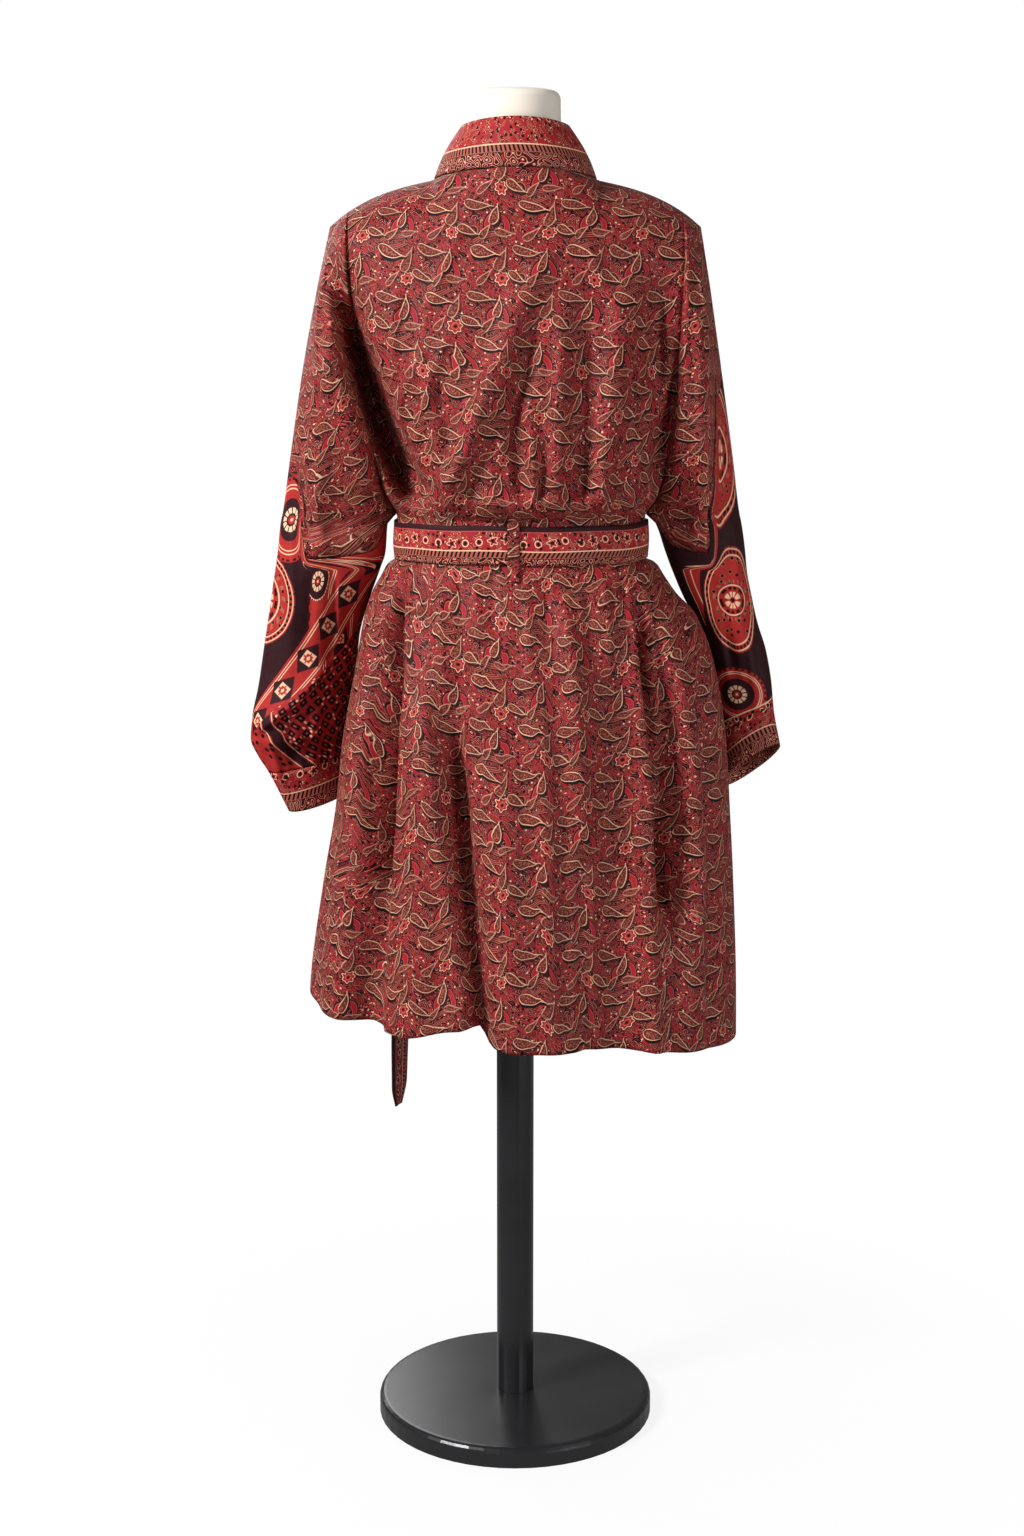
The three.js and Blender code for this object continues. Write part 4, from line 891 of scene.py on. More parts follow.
    # the leaves: long ones lying to the right, standing ones leaning right, and small ones
    stipple, _ = spots(tree, plane, 1.8)
    filled = dye(tree, stipple.under(0.5, 0.14) * 0.9, "maroon", "tan")
    for place, degrees, length, width, bend, strength in (
        ((-30.0, -13.0), 22, 20, 6.5, 0.014, 0.35),
        ((37.0, -14.5), -14, 19, 6.5, 0.015, 0.25),
        ((17.0, -12.0), 62, 17, 6.5, -0.014, 0.45),
        ((0.0, -12.5), -44, 22, 8.5, 0.014, 0.8),
        ((30.0, 3.0), 55, 22, 8.5, 0.014, 0.9),
        ((-12.0, 4.0), 46, 24, 9.0, 0.013, 0.5),
        ((-33.0, 10.5), -38, 28, 10.0, 0.012, 1.0),
        ((10.0, 12.0), -32, 28, 9.5, 0.012, 0.7),
    ):
        edge = leaf(x, y, place, degrees, length, width, bend)
        shade = leaf(x, y, (place[0] + 1.3, place[1] - 1.9), degrees, length, width + 1.5, bend)
        ground = dye(tree, shade.under(1.2, 0.7) * strength, "night", ground)
        ground = dye(tree, edge.under(0.0, 0.3) * (0.3 + 0.7 * strength), filled, ground)
        ground = dye(tree, edge.near(-1.5, 0.4, 0.25) * strength, "maroon", ground)
        ground = dye(tree, edge.near(0.0, 0.42, 0.22) * (0.25 + 0.65 * strength), "cream", ground)
    tree.links.new(ground, out["Colour"])


def make_weave():
    """Plain weave and small creases, as a height in mm. Place is in metres."""
    tree, given, out = group("weave", [("Place", "vector")], [("Height", "value"), ("Wear", "value")])
    u, v, _ = parts_of(tree, given["Place"])
    warp = (u * (2 * math.pi * 1150)).does("SINE")
    weft = (v * (2 * math.pi * 1150)).does("SINE")
    plane = vector_of(tree, u * 1000.0, v * 1000.0)
    crumple = noise(tree, plane, 26, 2)
    slub = noise(tree, vector_of(tree, u * 1000.0, v * 160.0), 9, 1)
    height = warp * weft * 0.03 + crumple * 1.5 + slub * 0.12
    tree.links.new(height.socket, out["Height"])
    tree.links.new((crumple * 0.5 + slub * 0.5).socket, out["Wear"])


def make_band_print():
    """Border print by height from the seam: scale strip, ticks, cream line, red band, dark edge."""
    inputs = [("Along", "value"), ("Up", "value"), ("Strip", "value"), ("Ticks", "value"), ("Red", "value")]
    tree, given, out = group("band_print", inputs, [("Colour", "colour")])
    along_it, up, strip, ticks, red = (Amount(tree, given[title]) for title, _ in inputs)
    a, b = along_it * 1000.0, up * 1000.0
    plane = vector_of(tree, a, b)
    # scale strip
    curl = (noise(tree, plane, 8.5, 0) * 6.0).does("FRACT")
    scales = dye(tree, curl.near(0.5, 0.2, 0.08), "crimson", "maroon")
    scales = dye(tree, curl.near(0.68, 0.07, 0.05), "cream", scales)
    scales = dye(tree, curl.near(0.05, 0.24, 0.06), "night", scales)
    # ticks
    start = b - strip
    stroke = ((a + start * 0.35) / 4.8).does("FRACT")
    slope = start / ticks
    bar = stroke.near(0.5, 0.25, 0.05)
    row_of_ticks = dye(tree, bar, dye(tree, stroke.near(0.5, 0.07, 0.05), "rose", "tan"), "night")
    row_of_ticks = dye(tree, slope.near(0.06, 0.06, 0.03), "tan", row_of_ticks)
    # red band
    over = start - ticks
    middle = over - red * 0.5
    count = (a / 15.0).does("FLOOR")
    step = (count * 12.9898).does("SINE").does("FRACT") - 0.5
    x = ((a / 15.0).does("FRACT") - 0.5) * 15.0 + step * 3.0
    y = middle + step * 5.0
    r = (x * x + y * y).does("SQRT")
    kind = (count * 0.3333).does("FRACT")
    field = dye(tree, noise(tree, plane, 8, 1).under(0.62, 0.1) * 0.85, "crimson", "red")
    swirl = (noise(tree, plane, 9.5, 0) * 8.0).does("FRACT")
    broken = noise(tree, vector_of(tree, b, a), 7, 0)
    field = dye(tree, swirl.near(0.3, 0.15, 0.06) * broken.under(0.55, 0.05), "maroon", field)
    field = dye(tree, swirl.near(0.5, 0.055, 0.04) * broken.under(0.52, 0.05), "cream", field)
    petal = (y.does("ARCTAN2", x) * 5.0).does("COSINE")
    flower = (r - petal * 1.2).near(4.3, 0.5, 0.25) * kind.under(0.5, 0.05)
    rings = r.near(3.3, 0.5, 0.25) * (1.0 - kind.under(0.5, 0.05))
    field = dye(tree, r.under(5.0, 0.3) * 0.8, "crimson", field)
    field = dye(tree, most(flower, rings), "cream", field)
    field = dye(tree, r.under(1.9, 0.3), "night", field)
    away, shade = spots(tree, plane, 6.2)
    field = dye(tree, away.under(0.26, 0.04) * shade.under(0.4, 0.01), "night", field)
    field = dye(tree, away.under(0.13, 0.04) * shade.near(0.7, 0.06, 0.01), "cream", field)
    edge = over - red
    colour = dye(tree, start.under(0.0, 0.2), scales, row_of_ticks)
    colour = dye(tree, over.under(0.0, 0.2), colour, field)
    colour = dye(tree, over.near(0.2, 0.6, 0.2), "cream", colour)
    colour = dye(tree, start.near(0.0, 0.3, 0.2), "night", colour)
    colour = dye(tree, edge.under(0.0, 0.2), colour, "aubergine")
    colour = dye(tree, edge.near(0.0, 0.4, 0.2), "rose", colour)
    tree.links.new(colour, out["Colour"])


def make_flower_disc():
    """A dark disc with a ring of cream petals, inside red rings with cream lines."""
    inputs = [("X", "value"), ("Y", "value"), ("Wide", "value"), ("Tall", "value"), ("Rings", "value")]
    tree, given, out = group("flower_disc", inputs, [("Colour", "colour"), ("Cover", "value")])
    x, y, wide, tall, rings = (Amount(tree, given[title]) for title, _ in inputs)
    nx, ny = x / wide, y / tall
    r = (nx * nx + ny * ny).does("SQRT")
    angle = ny.does("ARCTAN2", nx)
    disc = dye(tree, r.under(0.2, 0.03), "red", "aubergine")
    petal = (angle * 5.5).does("SINE").does("ABSOLUTE")
    disc = dye(tree, r.near(0.44, 0.13, 0.03) * (1.0 - petal.under(0.38, 0.12)), "cream", disc)
    disc = dye(tree, r.under(0.07, 0.03), "cream", disc)
    out_by = r - 1.0
    tooth = (angle * 30.0).does("SINE").under(0.0, 0.4)
    ring = dye(tree, out_by.under(0.0, 0.03), disc, "red")
    ring = dye(tree, out_by.near(0.12, 0.05, 0.02) * tooth, "crimson", ring)
    ring = dye(tree, out_by.near(rings * 0.45, 0.028, 0.02), "cream", ring)
    ring = dye(tree, out_by.near(rings * 0.62, 0.028, 0.02), "cream", ring)
    ring = dye(tree, out_by.near(rings * 0.9, 0.05, 0.02) * tooth, "night", ring)
    tree.links.new(ring, out["Colour"])
    tree.links.new((out_by - rings).under(0.0, 0.02).socket, out["Cover"])


def make_medallion():
    """A large red medallion: double cream outline, a ring of dots, a round middle with small petals."""
    inputs = [("X", "value"), ("Y", "value"), ("Wide", "value"), ("Tall", "value")]
    tree, given, out = group("medallion", inputs, [("Colour", "colour"), ("Cover", "value")])
    x, y, wide, tall = (Amount(tree, given[title]) for title, _ in inputs)
    nx, ny = x / wide, y / tall
    r = (nx * nx + ny * ny).does("SQRT")
    angle = ny.does("ARCTAN2", nx)
    away, shade = spots(tree, vector_of(tree, x, y), 8.6, 0.6)
    colour = dye(tree, away.under(0.27, 0.04) * shade.under(0.6, 0.01), "tan", "red")
    colour = dye(tree, away.under(0.2, 0.04) * shade.under(0.8, 0.01), "night", colour)
    # a round middle with a flower, and a garland of small leaves about it
    middle = (x * x + y * y).does("SQRT") / wide
    colour = dye(tree, middle.under(0.5, 0.02), "red", colour)
    dashes = middle.near(0.42, 0.05, 0.03) * (angle * 9.0).does("SINE").under(0.3, 0.2)
    colour = dye(tree, dashes, "night", colour)
    colour = dye(tree, middle.near(0.52, 0.022, 0.015), "cream", colour)
    petals = (angle * 4.0).does("SINE").does("ABSOLUTE")
    colour = dye(tree, middle.near(0.2, 0.09, 0.02) * (1.0 - petals.under(0.5, 0.12)), "cream", colour)
    colour = dye(tree, middle.under(0.07, 0.02), "night", colour)
    garland = (angle * 16.0 + middle * 9.0).does("SINE")
    colour = dye(tree, middle.near(0.66, 0.06, 0.02) * (1.0 - garland.under(0.35, 0.2)), "tan", colour)
    tooth = (angle * 44.0).does("SINE").under(0.0, 0.4)
    colour = dye(tree, r.near(0.9, 0.03, 0.012) * tooth, "night", colour)
    colour = dye(tree, r.near(0.84, 0.014, 0.01), "cream", colour)
    colour = dye(tree, r.near(0.955, 0.014, 0.01), "cream", colour)
    tree.links.new(colour, out["Colour"])
    tree.links.new(r.under(1.0, 0.015).socket, out["Cover"])


def make_lozenge():
    """A dark lozenge with a square cream flower."""
    inputs = [("X", "value"), ("Y", "value"), ("Wide", "value"), ("Tall", "value")]
    tree, given, out = group("lozenge", inputs, [("Colour", "colour"), ("Cover", "value")])
    x, y, wide, tall = (Amount(tree, given[title]) for title, _ in inputs)
    nx, ny = (x / wide).does("ABSOLUTE"), (y / tall).does("ABSOLUTE")
    diamond, square = nx + ny, most(nx, ny * 1.3)
    colour = dye(tree, square.under(0.5, 0.04), "cream", "aubergine")
    colour = dye(tree, square.under(0.3, 0.04), "red", colour)
    colour = dye(tree, least(nx, ny).under(0.06, 0.04) * square.under(0.46, 0.04), "red", colour)
    colour = dye(tree, diamond.under(0.16, 0.04), "cream", colour)
    tree.links.new(colour, out["Colour"])
    tree.links.new(diamond.under(1.1, 0.05).socket, out["Cover"])


def cloth_material(name):
    """A matt cotton with a soft weave. Returns the tree, its shader and the flat place on the cloth."""
    material = bpy.data.materials.new(name)
    material.use_nodes = True
    tree = material.node_tree
    shader = tree.nodes["Principled BSDF"]
    shader.inputs["Sheen Weight"].default_value = 0.01
    shader.inputs["Sheen Roughness"].default_value = 0.45
    shader.inputs["Specular IOR Level"].default_value = 0.14
    place = tree.nodes.new("ShaderNodeUVMap")
    place.uv_map = "cloth"
    woven = use(tree, "weave", Place=place.outputs[0])
    bump = tree.nodes.new("ShaderNodeBump")
    bump.inputs["Strength"].default_value = 0.6
    bump.inputs["Distance"].default_value = 0.001
    tree.links.new(woven["Height"], bump.inputs["Height"])
    tree.links.new(bump.outputs[0], shader.inputs["Normal"])
    rough = Amount(tree, woven["Wear"]) * 0.25 + 0.5
    tree.links.new(rough.socket, shader.inputs["Roughness"])
    return material, tree, shader, place.outputs[0]


def paisley_cloth():
    material = bpy.data.materials.get("paisley_print")
    if material:
        return material
    material, tree, shader, place = cloth_material("paisley_print")
    tree.links.new(use(tree, "paisley_print", Place=place)["Colour"], shader.inputs["Base Color"])
    return material


def band_cloth(name, strip, ticks, red):
    """Border cloth whose print runs along the piece: heights of its scale strip, ticks and red band in mm."""
    material = bpy.data.materials.get(name)
    if material:
        return material
    material, tree, shader, place = cloth_material(name)
    u, v, _ = parts_of(tree, place)
    colour = use(tree, "band_print", Along=u, Up=v, Strip=strip, Ticks=ticks, Red=red)["Colour"]
    tree.links.new(colour, shader.inputs["Base Color"])
    return material


def slanted(s, z, low, high):
    """Distance to the right of a slanted line from low to high, places (s, z) in mm, and the way along it."""
    length = math.hypot(high[0] - low[0], high[1] - low[1])
    c, d = (high[0] - low[0]) / length, (high[1] - low[1]) / length
    return (s - low[0]) * d - (z - low[1]) * c, (s - low[0]) * c + (z - low[1]) * d


def lay_on(tree, colour, motif):
    return dye(tree, Amount(tree, motif["Cover"]), motif["Colour"], colour)


def sleeve_cloth(side):
    """Dark border cloth with medallions. s runs from the outer fold line, above 0 on the back."""
    name = f"sleeve_{side}_print"
    material, tree, shader, place = cloth_material(name)
    u, v, _ = parts_of(tree, place)
    s, z = u * 1000.0, v * 1000.0
    colour = left_sleeve_print(tree, s, z) if side == "left" else right_sleeve_print(tree, s, z)
    tree.links.new(colour, shader.inputs["Base Color"])
    return material


def around(s, repeat, centre):
    """Distance from a motif that comes again round the sleeve."""
    return (((s - centre) / repeat + 0.5).does("FRACT") - 0.5) * repeat


def twin_cover(away, gap):
    return away.does("ABSOLUTE").near(gap, 0.5, 0.25)


def twin_lines(tree, away, gap, colour):
    """Two thin cream lines, gap to either side of a place."""
    return dye(tree, twin_cover(away, gap), "cream", colour)


def left_sleeve_print(tree, s, z):
    plane = vector_of(tree, s, z)
    mottle = noise(tree, plane, 9, 1)
    colour = dye(tree, mottle.under(0.4, 0.1) * 0.3, "night", "aubergine")
    ring = around(s, 158, 0)
    colour = lay_on(tree, colour, use(tree, "medallion", X=ring + 4.0, Y=z - 897.0, Wide=47.0, Tall=47.0))
    # the inner part of the border: red, with a column of flower discs and one of dark pointed ovals
    line, _ = slanted(s, z, (77, 825), (84, 945))
    inner = dye(tree, mottle.under(0.42, 0.08) * 0.6, "crimson", "red")
    disc = use(tree, "flower_disc", X=s - 66.0, Y=z - 920.0, Wide=11.0, Tall=19.0, Rings=0.12)
    inner = lay_on(tree, inner, disc)
    step = ((z / 50.0 + 0.36).does("FRACT") - 0.5) * 50.0
    column = line - 16.0
    oval = (column * column / 100.0 + step.does("ABSOLUTE") / 24.0).under(1.0, 0.05)
    inner = dye(tree, oval * line.near(16.0, 13.0, 0.3), "aubergine", inner)
    inner = lay_on(tree, inner, use(tree, "lozenge", X=column, Y=step, Wide=9.0, Tall=13.0))
    inner = twin_lines(tree, line - 30.0, 1.2, inner)
    inner = twin_lines(tree, line, 1.3, inner)
    colour = dye(tree, 1.0 - (s - mottle * 6.0).under(56, 0.3), inner, colour)
    # the slanted red band with lozenges
    across, run = slanted(s, z, (35, 804), (58, 838))
    band = across.near(1.0, 18, 0.3)
    colour = dye(tree, band, dye(tree, mottle.under(0.42, 0.08) * 0.5, "crimson", "red"), colour)
    colour = twin_lines(tree, across + 12.5, 1.3, colour)
    colour = twin_lines(tree, across - 15.0, 1.3, colour)
    step = ((run / 41.0 + 0.5).does("FRACT") - 0.5) * 41.0
    turned = use(tree, "lozenge", X=across, Y=step, Wide=13.0, Tall=17.0)
    colour = dye(tree, Amount(tree, turned["Cover"]) * across.near(0.0, 14, 0.3), turned["Colour"], colour)
    # below the overhanging fold: red with a dark slanted stripe and checks
    below, _ = slanted(s, z, (0, 752), (79.5, 829))
    low = dye(tree, mottle.under(0.45, 0.06) * 0.5, "crimson", "red")
    away, shade = spots(tree, plane, 8.0, 0.5)
    low = dye(tree, away.under(0.28, 0.04) * shade.under(0.6, 0.01), "night", low)
    cell_a = ((s + z) / 17.0).does("FRACT").near(0.5, 0.33, 0.04)
    cell_b = ((s - z) / 17.0).does("FRACT").near(0.5, 0.33, 0.04)
    ruled = dye(tree, cell_a * cell_b, "night", dye(tree, mottle.under(0.5, 0.06), "crimson", "red"))
    middle = ((s + z) / 17.0).does("FRACT").near(0.5, 0.1, 0.04)
    middle = middle * ((s - z) / 17.0).does("FRACT").near(0.5, 0.1, 0.04)
    ruled = dye(tree, middle, "rose", ruled)
    fleck, tint = spots(tree, plane, 6.0, 0.6)
    flecks = fleck.under(0.25, 0.05) * tint.under(0.35, 0.01)
    ruled = dye(tree, flecks * (1.0 - cell_a * cell_b), "cream", ruled)
    dark, _ = slanted(s, z, (46, 722), (27, 768))
    low = dye(tree, 1.0 - dark.under(9.0, 0.3), ruled, low)
    low = dye(tree, dark.near(0.0, 5.5, 0.3), "aubergine", low)
    low = dye(tree, most(dark.near(-7.5, 0.6, 0.25), dark.near(7.5, 0.6, 0.25)), "cream", low)
    colour = dye(tree, 1.0 - below.under(0.0, 0.3), low, colour)
    disc = use(tree, "flower_disc", X=s - 28.0, Y=z - 983.0, Wide=25.0, Tall=22.0, Rings=1.0)
    return lay_on(tree, colour, disc)


def right_sleeve_print(tree, s, z):
    plane = vector_of(tree, s, z)
    mottle = noise(tree, plane, 9, 1)
    colour = dye(tree, mottle.under(0.4, 0.1) * 0.3, "night", "aubergine")
    colour = lay_on(tree, colour, use(tree, "medallion", X=s - 32.0, Y=z - 899.0, Wide=31.0, Tall=57.0))
    colour = lay_on(tree, colour, use(tree, "medallion", X=s - 55.0, Y=z - 1050.0, Wide=53.0, Tall=76.0))
    disc = use(tree, "flower_disc", X=s - 38.0, Y=z - 797.0, Wide=21.0, Tall=17.0, Rings=0.7)
    colour = lay_on(tree, colour, disc)
    colour = lay_on(tree, colour, use(tree, "medallion", X=s + 38.0, Y=z - 960.0, Wide=30.0, Tall=62.0))
    # red end of the sleeve over the cuff
    below, _ = slanted(s, z, (0, 790), (96, 752))
    end = dye(tree, mottle.under(0.46, 0.05) * 0.6, "crimson", "red")
    away, shade = spots(tree, plane, 8.0, 0.6)
    end = dye(tree, away.near(0.34, 0.06, 0.03) * shade.under(0.5, 0.01), "cream", end)
    end = dye(tree, away.under(0.24, 0.03), "night", end)
    colour = dye(tree, 1.0 - below.under(0.0, 0.3), end, colour)
    colour = dye(tree, below.near(0.5, 0.7, 0.25), "cream", colour)
    # small border part inside the long fold
    across, _ = slanted(s, z, (62, 885), (84, 960))
    part = dye(tree, across.under(9.0, 0.3), "red", "aubergine")
    part = lay_on(tree, part, use(tree, "lozenge", X=s - 92.0, Y=z - 938.0, Wide=9.0, Tall=9.0))
    part = dye(tree, most(across.near(1.0, 0.6, 0.25), across.near(9.0, 0.5, 0.25)), "cream", part)
    return dye(tree, (1.0 - s.under(66, 0.3)) * (1.0 - z.under(870, 0.3)), part, colour)


def painted_metal(name):
    """Satin black paint, a little uneven."""
    material = bpy.data.materials.new(name)
    material.use_nodes = True
    tree = material.node_tree
    shader = tree.nodes["Principled BSDF"]
    shader.inputs["Specular IOR Level"].default_value = 0.6
    place = tree.nodes.new("ShaderNodeTexCoord").outputs["Object"]
    grain = noise(tree, place, 0.0022, 2, "3D")
    patch = noise(tree, place, 0.05, 3, "3D")
    tone = dye(tree, patch, "paint_light", "paint")
    tree.links.new(tone, shader.inputs["Base Color"])
    tree.links.new((patch * 0.1 + grain * 0.05 + 0.16).socket, shader.inputs["Roughness"])
    bump = tree.nodes.new("ShaderNodeBump")
    bump.inputs["Strength"].default_value = 0.12
    bump.inputs["Distance"].default_value = 0.0004
    tree.links.new(grain.socket, bump.inputs["Height"])
    tree.links.new(bump.outputs[0], shader.inputs["Normal"])
    return material


def form_jersey():
    """Cream knitted cover of the form and its neck cap."""
    material = bpy.data.materials.new("form_jersey")
    material.use_nodes = True
    tree = material.node_tree
    shader = tree.nodes["Principled BSDF"]
    place = tree.nodes.new("ShaderNodeTexCoord").outputs["Object"]
    x, y, z = parts_of(tree, place)
    around_it = y.does("ARCTAN2", x)
    rib = (around_it * 210.0).does("SINE") * 0.5
    knit = (z * (2 * math.pi * 700)).does("SINE") * 0.5
    soft = noise(tree, place, 0.03, 3, "3D")
    tone = dye(tree, soft, "jersey_light", "jersey")
    tree.links.new(tone, shader.inputs["Base Color"])
    shader.inputs["Roughness"].default_value = 0.85
    shader.inputs["Sheen Weight"].default_value = 0.2
    bump = tree.nodes.new("ShaderNodeBump")
    bump.inputs["Strength"].default_value = 0.35
    bump.inputs["Distance"].default_value = 0.0004
    height = rib * knit * 0.5 + soft * 0.6
    tree.links.new(height.socket, bump.inputs["Height"])
    tree.links.new(bump.outputs[0], shader.inputs["Normal"])
    return material


# ---------------------------------------------------------------- pieces


def off_form(points, face, gap=2.5):
    """Moves cloth that would cut into the dress form out to it. The gap closes at the shoulder."""
    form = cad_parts["form_torso"]
    tree = BVHTree.FromObject(form, bpy.context.evaluated_depsgraph_get())
    inward = Vector((0, -face, 0))
    for spot in points.reshape(-1, 3):
        if spot[2] > 1330 or abs(spot[0]) > 200:
            continue
        hit, _, _, _ = tree.ray_cast(Vector((spot[0] * MM, face * 0.4, spot[2] * MM)), inward)
        if hit is not None:
            clear = gap * smooth((shoulder_z(spot[0]) - spot[2]) / 50)
            spot[1] = face * max(face * spot[1], face * hit.y / MM + clear)
    return points


class KIMONO_OT_back(bpy.types.Operator):
    """Makes the back: one cloth over both sleeves, gathered at the waist, down to the hem"""

    bl_idname = "kimono.back"
    bl_label = "Back"

    def execute(self, context):
        body = back_body()
        short = body.shape[0] - UPPER_STEPS
        left = below_nothing(sleeve_columns("left", 1)[:, ::-1], short)
        right = below_nothing(sleeve_columns("right", 1), short)
        points = off_form(np.concatenate([left, body, right], 1), 1)
        places = cloth_places(points, SLEEVE_STEPS + HALF_STEPS)
        piece = cloth("back_cloth", points, places, paisley_cloth(), "jacket_wall", (0, -60))
        dress(piece, ["back_panel"])
        return {"FINISHED"}


def front_edge(side, z):
    x = along(FRONT_EDGE, z)[0]
    return x if side == "left" else -x


def lap_drop(x, z):
    return LAP_DROP * smooth((x - LAP_START) / (LAP_FULL - LAP_START)) * smooth((1262 - z) / 40)


def front_point(side, x, z):
    points = body_point(-1, x, z)
    if side == "right":
        left, right = along(BODY, z)[:2]
        drop = lap_drop(x, z)
        points[..., 0] -= drop * x / np.where(x >= 0, left, right) * 0.5
        points[..., 1] += drop
    return points


def front_body(side):
    sign = 1 if side == "left" else -1
    share = np.linspace(0, 1, 66)

    def place(z):
        left, right = along(BODY, z)[:2]
        edge = front_edge(side, z)
        edge_angle = np.arcsin(np.clip(edge / np.where(edge >= 0, left, right), -1, 1))
        sine = np.sin(mix(sign * np.pi / 2, edge_angle, share))
        return sine * np.where(sine >= 0, left, right)

    start = place(np.full(share.shape, float(SHOULDER_Z)))
    low = hem_height(-1, place(np.full(share.shape, 540.0)))
    levels = np.concatenate([upper_levels(shoulder_z(start), UNDERARM_Z), lower_levels(low)])
    points = front_point(side, place(levels), levels)
    points[:, 0, 1] = np.minimum(points[:, 0, 1], -SEAM_GAP / 2)
    beside_neck = np.abs(points[0, :, 0]) >= NECK_HALF
    points[0, beside_neck, 1] = -SEAM_GAP / 2
    points[0, beside_neck, 2] = shoulder_z(points[0, beside_neck, 0])
    return points


class KIMONO_OT_fronts(bpy.types.Operator):
    """Makes the two fronts, the left one lapped over the right one"""

    bl_idname = "kimono.fronts"
    bl_label = "Fronts"

    def execute(self, context):
        for side in ("left", "right"):
            body = front_body(side)
            short = body.shape[0] - UPPER_STEPS
            over = below_nothing(sleeve_columns(side, -1)[:, ::-1], short)
            points = off_form(np.concatenate([over, body], 1), -1, 2.5 if side == "right" else 6.5)
            places = cloth_places(points, SLEEVE_STEPS)
            piece = cloth(f"front_{side}_cloth", points, places, paisley_cloth(), "jacket_wall", (0, 60))
            dress(piece, [f"front_{side}"])
        return {"FINISHED"}


def tube_turns():
    """Columns round a hanging sleeve, out over its back and in again over its front."""
    there = np.linspace(0, 1, 61)
    back = [(1, turn) for turn in there]
    front = [(-1, turn) for turn in there[::-1][1:-1]]
    return back + front


def tube_rows(side, rows_of_levels):
    """Rings round a sleeve. rows_of_levels gives, for an array of turns, the level of each row."""
    rings = []
    turns = tube_turns()
    for face in (1, -1):
        turn = np.array([t for f, t in turns if f == face])
        levels = rows_of_levels(turn)
        rings.append(sleeve_point(side, face, np.broadcast_to(turn, levels.shape), levels))
    return np.concatenate(rings, 1)


def tube_places(points, outer_column):
    """Place on the flat sleeve: across from the outer fold line, above 0 on the back, and up by height."""
    ring = np.concatenate([points, points[:, :1]], 1)
    across = arc(ring, 1)
    across = across[:, [outer_column]] - across
    return np.stack([across, ring[..., 2] * MM], -1)


class KIMONO_OT_sleeves(bpy.types.Operator):
    """Makes the hanging sleeves of border cloth and their cuffs"""

    bl_idname = "kimono.sleeves"
    bl_label = "Sleeves"

    def execute(self, context):
        for side, length in (("left", 0.32), ("right", 0.4)):

            def levels(turn):
                start = sleeve_seam(side, turn) - 1
                t = np.linspace(0, 1, 30)[:, None]
                high = mix(start, SLEEVE_SEAM_Z, t)
                low = np.linspace(SLEEVE_SEAM_Z, CUFF_TOP[side], 76)[1:, None]
                return np.concatenate([high, np.repeat(low, len(turn), 1)])

            points = tube_rows(side, levels)
            piece = cloth(f"sleeve_{side}_cloth", points, tube_places(points, 60),
                          sleeve_cloth(side), "jacket_wall",
                          points.reshape(-1, 3).mean(0)[:2], closed=True)
            dress(piece, [f"sleeve_{side}"])

            def cuff_levels(turn):
                low = np.linspace(CUFF_TOP[side] - SEAM_GAP, CUFF_LOW[side], 16)[:, None]
                return np.repeat(low, len(turn), 1)

            points = tube_rows(side, cuff_levels)
            ring = np.concatenate([points, points[:, :1]], 1)
            down = arc(ring, 0)
            places = np.stack([arc(ring, 1), down[-1:] - down], -1)
            material = band_cloth("cuff_print", 13.0, 9.0, 40.0)
            piece = cloth(f"cuff_{side}_cloth", points, places, material, "band_wall",
                          points.reshape(-1, 3).mean(0)[:2], closed=True)
            dress(piece, [f"cuff_{side}"])
        return {"FINISHED"}


BAND_STEPS = 14


def band_row(side, z):
    """A row across the band where it lies on the chest or the skirt."""
    sign = 1 if side == "left" else -1
    lean = math.radians(BAND_TILT) * smooth((z - 1030) / 60)
    reach = SEAM_GAP * 1.5 + np.linspace(0, 1, BAND_STEPS + 1) * BAND_WIDTH
    x = front_edge(side, np.array(z, float)) - sign * reach * np.cos(lean)
    return front_point(side, x, z + reach * np.sin(lean))


def quadratic(a, b, c, t):
    return (1 - t) ** 2 * a + 2 * t * (1 - t) * b + t * t * c


def band_turn_row(side, share):
    """A row where the band turns from the chest to the side of the neck."""
    sign = 1 if side == "left" else -1
    z = mix(BAND_TURN_Z, SHOULDER_Z - 1, share)
    low = band_row(side, BAND_TURN_Z)[-1]
    high = np.array([sign * COLLAR_HALF, COLLAR_SIDE, COLLAR_Z - COLLAR_FALL])
    free = quadratic(low, np.array([sign * 48.0, -60, 1330]), high, share)
    flat = band_row(side, z)
    across = np.linspace(0, 1, BAND_STEPS + 1)[:, None]
    straight = mix(flat[0], free, across)
    return mix(flat, straight, smooth(share * 2.5))


def collar_row(angle):
    """A row across the standing collar: angle 0 is the nape, a quarter turn the side of the neck."""
    s, c = math.sin(angle), math.cos(angle)
    seam_z = SHOULDER_Z + NECK_RISE * c * c + SEAM_GAP * (1.5 + 3 * s * s)
    seam = np.array([NECK_HALF * s, NECK_BACK * c, seam_z])
    free = np.array([COLLAR_HALF * s, mix(COLLAR_SIDE, COLLAR_BACK, c), COLLAR_Z - COLLAR_FALL * s * s])
    across = np.linspace(0, 1, BAND_STEPS + 1)[:, None]
    bow = 3 * np.sin(np.pi * across)
    return mix(seam, free, across) + bow * np.array([s, c, 0])


def band_half(side):
    x = FRONT_EDGE[-1][1] * (1 if side == "left" else -1)
    hem = float(hem_height(-1, np.array(x)))
    rows = [band_row(side, z) for z in np.linspace(hem, 1215, 190)]
    rows += [band_turn_row(side, share) for share in np.linspace(0, 0.92, 22)]
    return rows


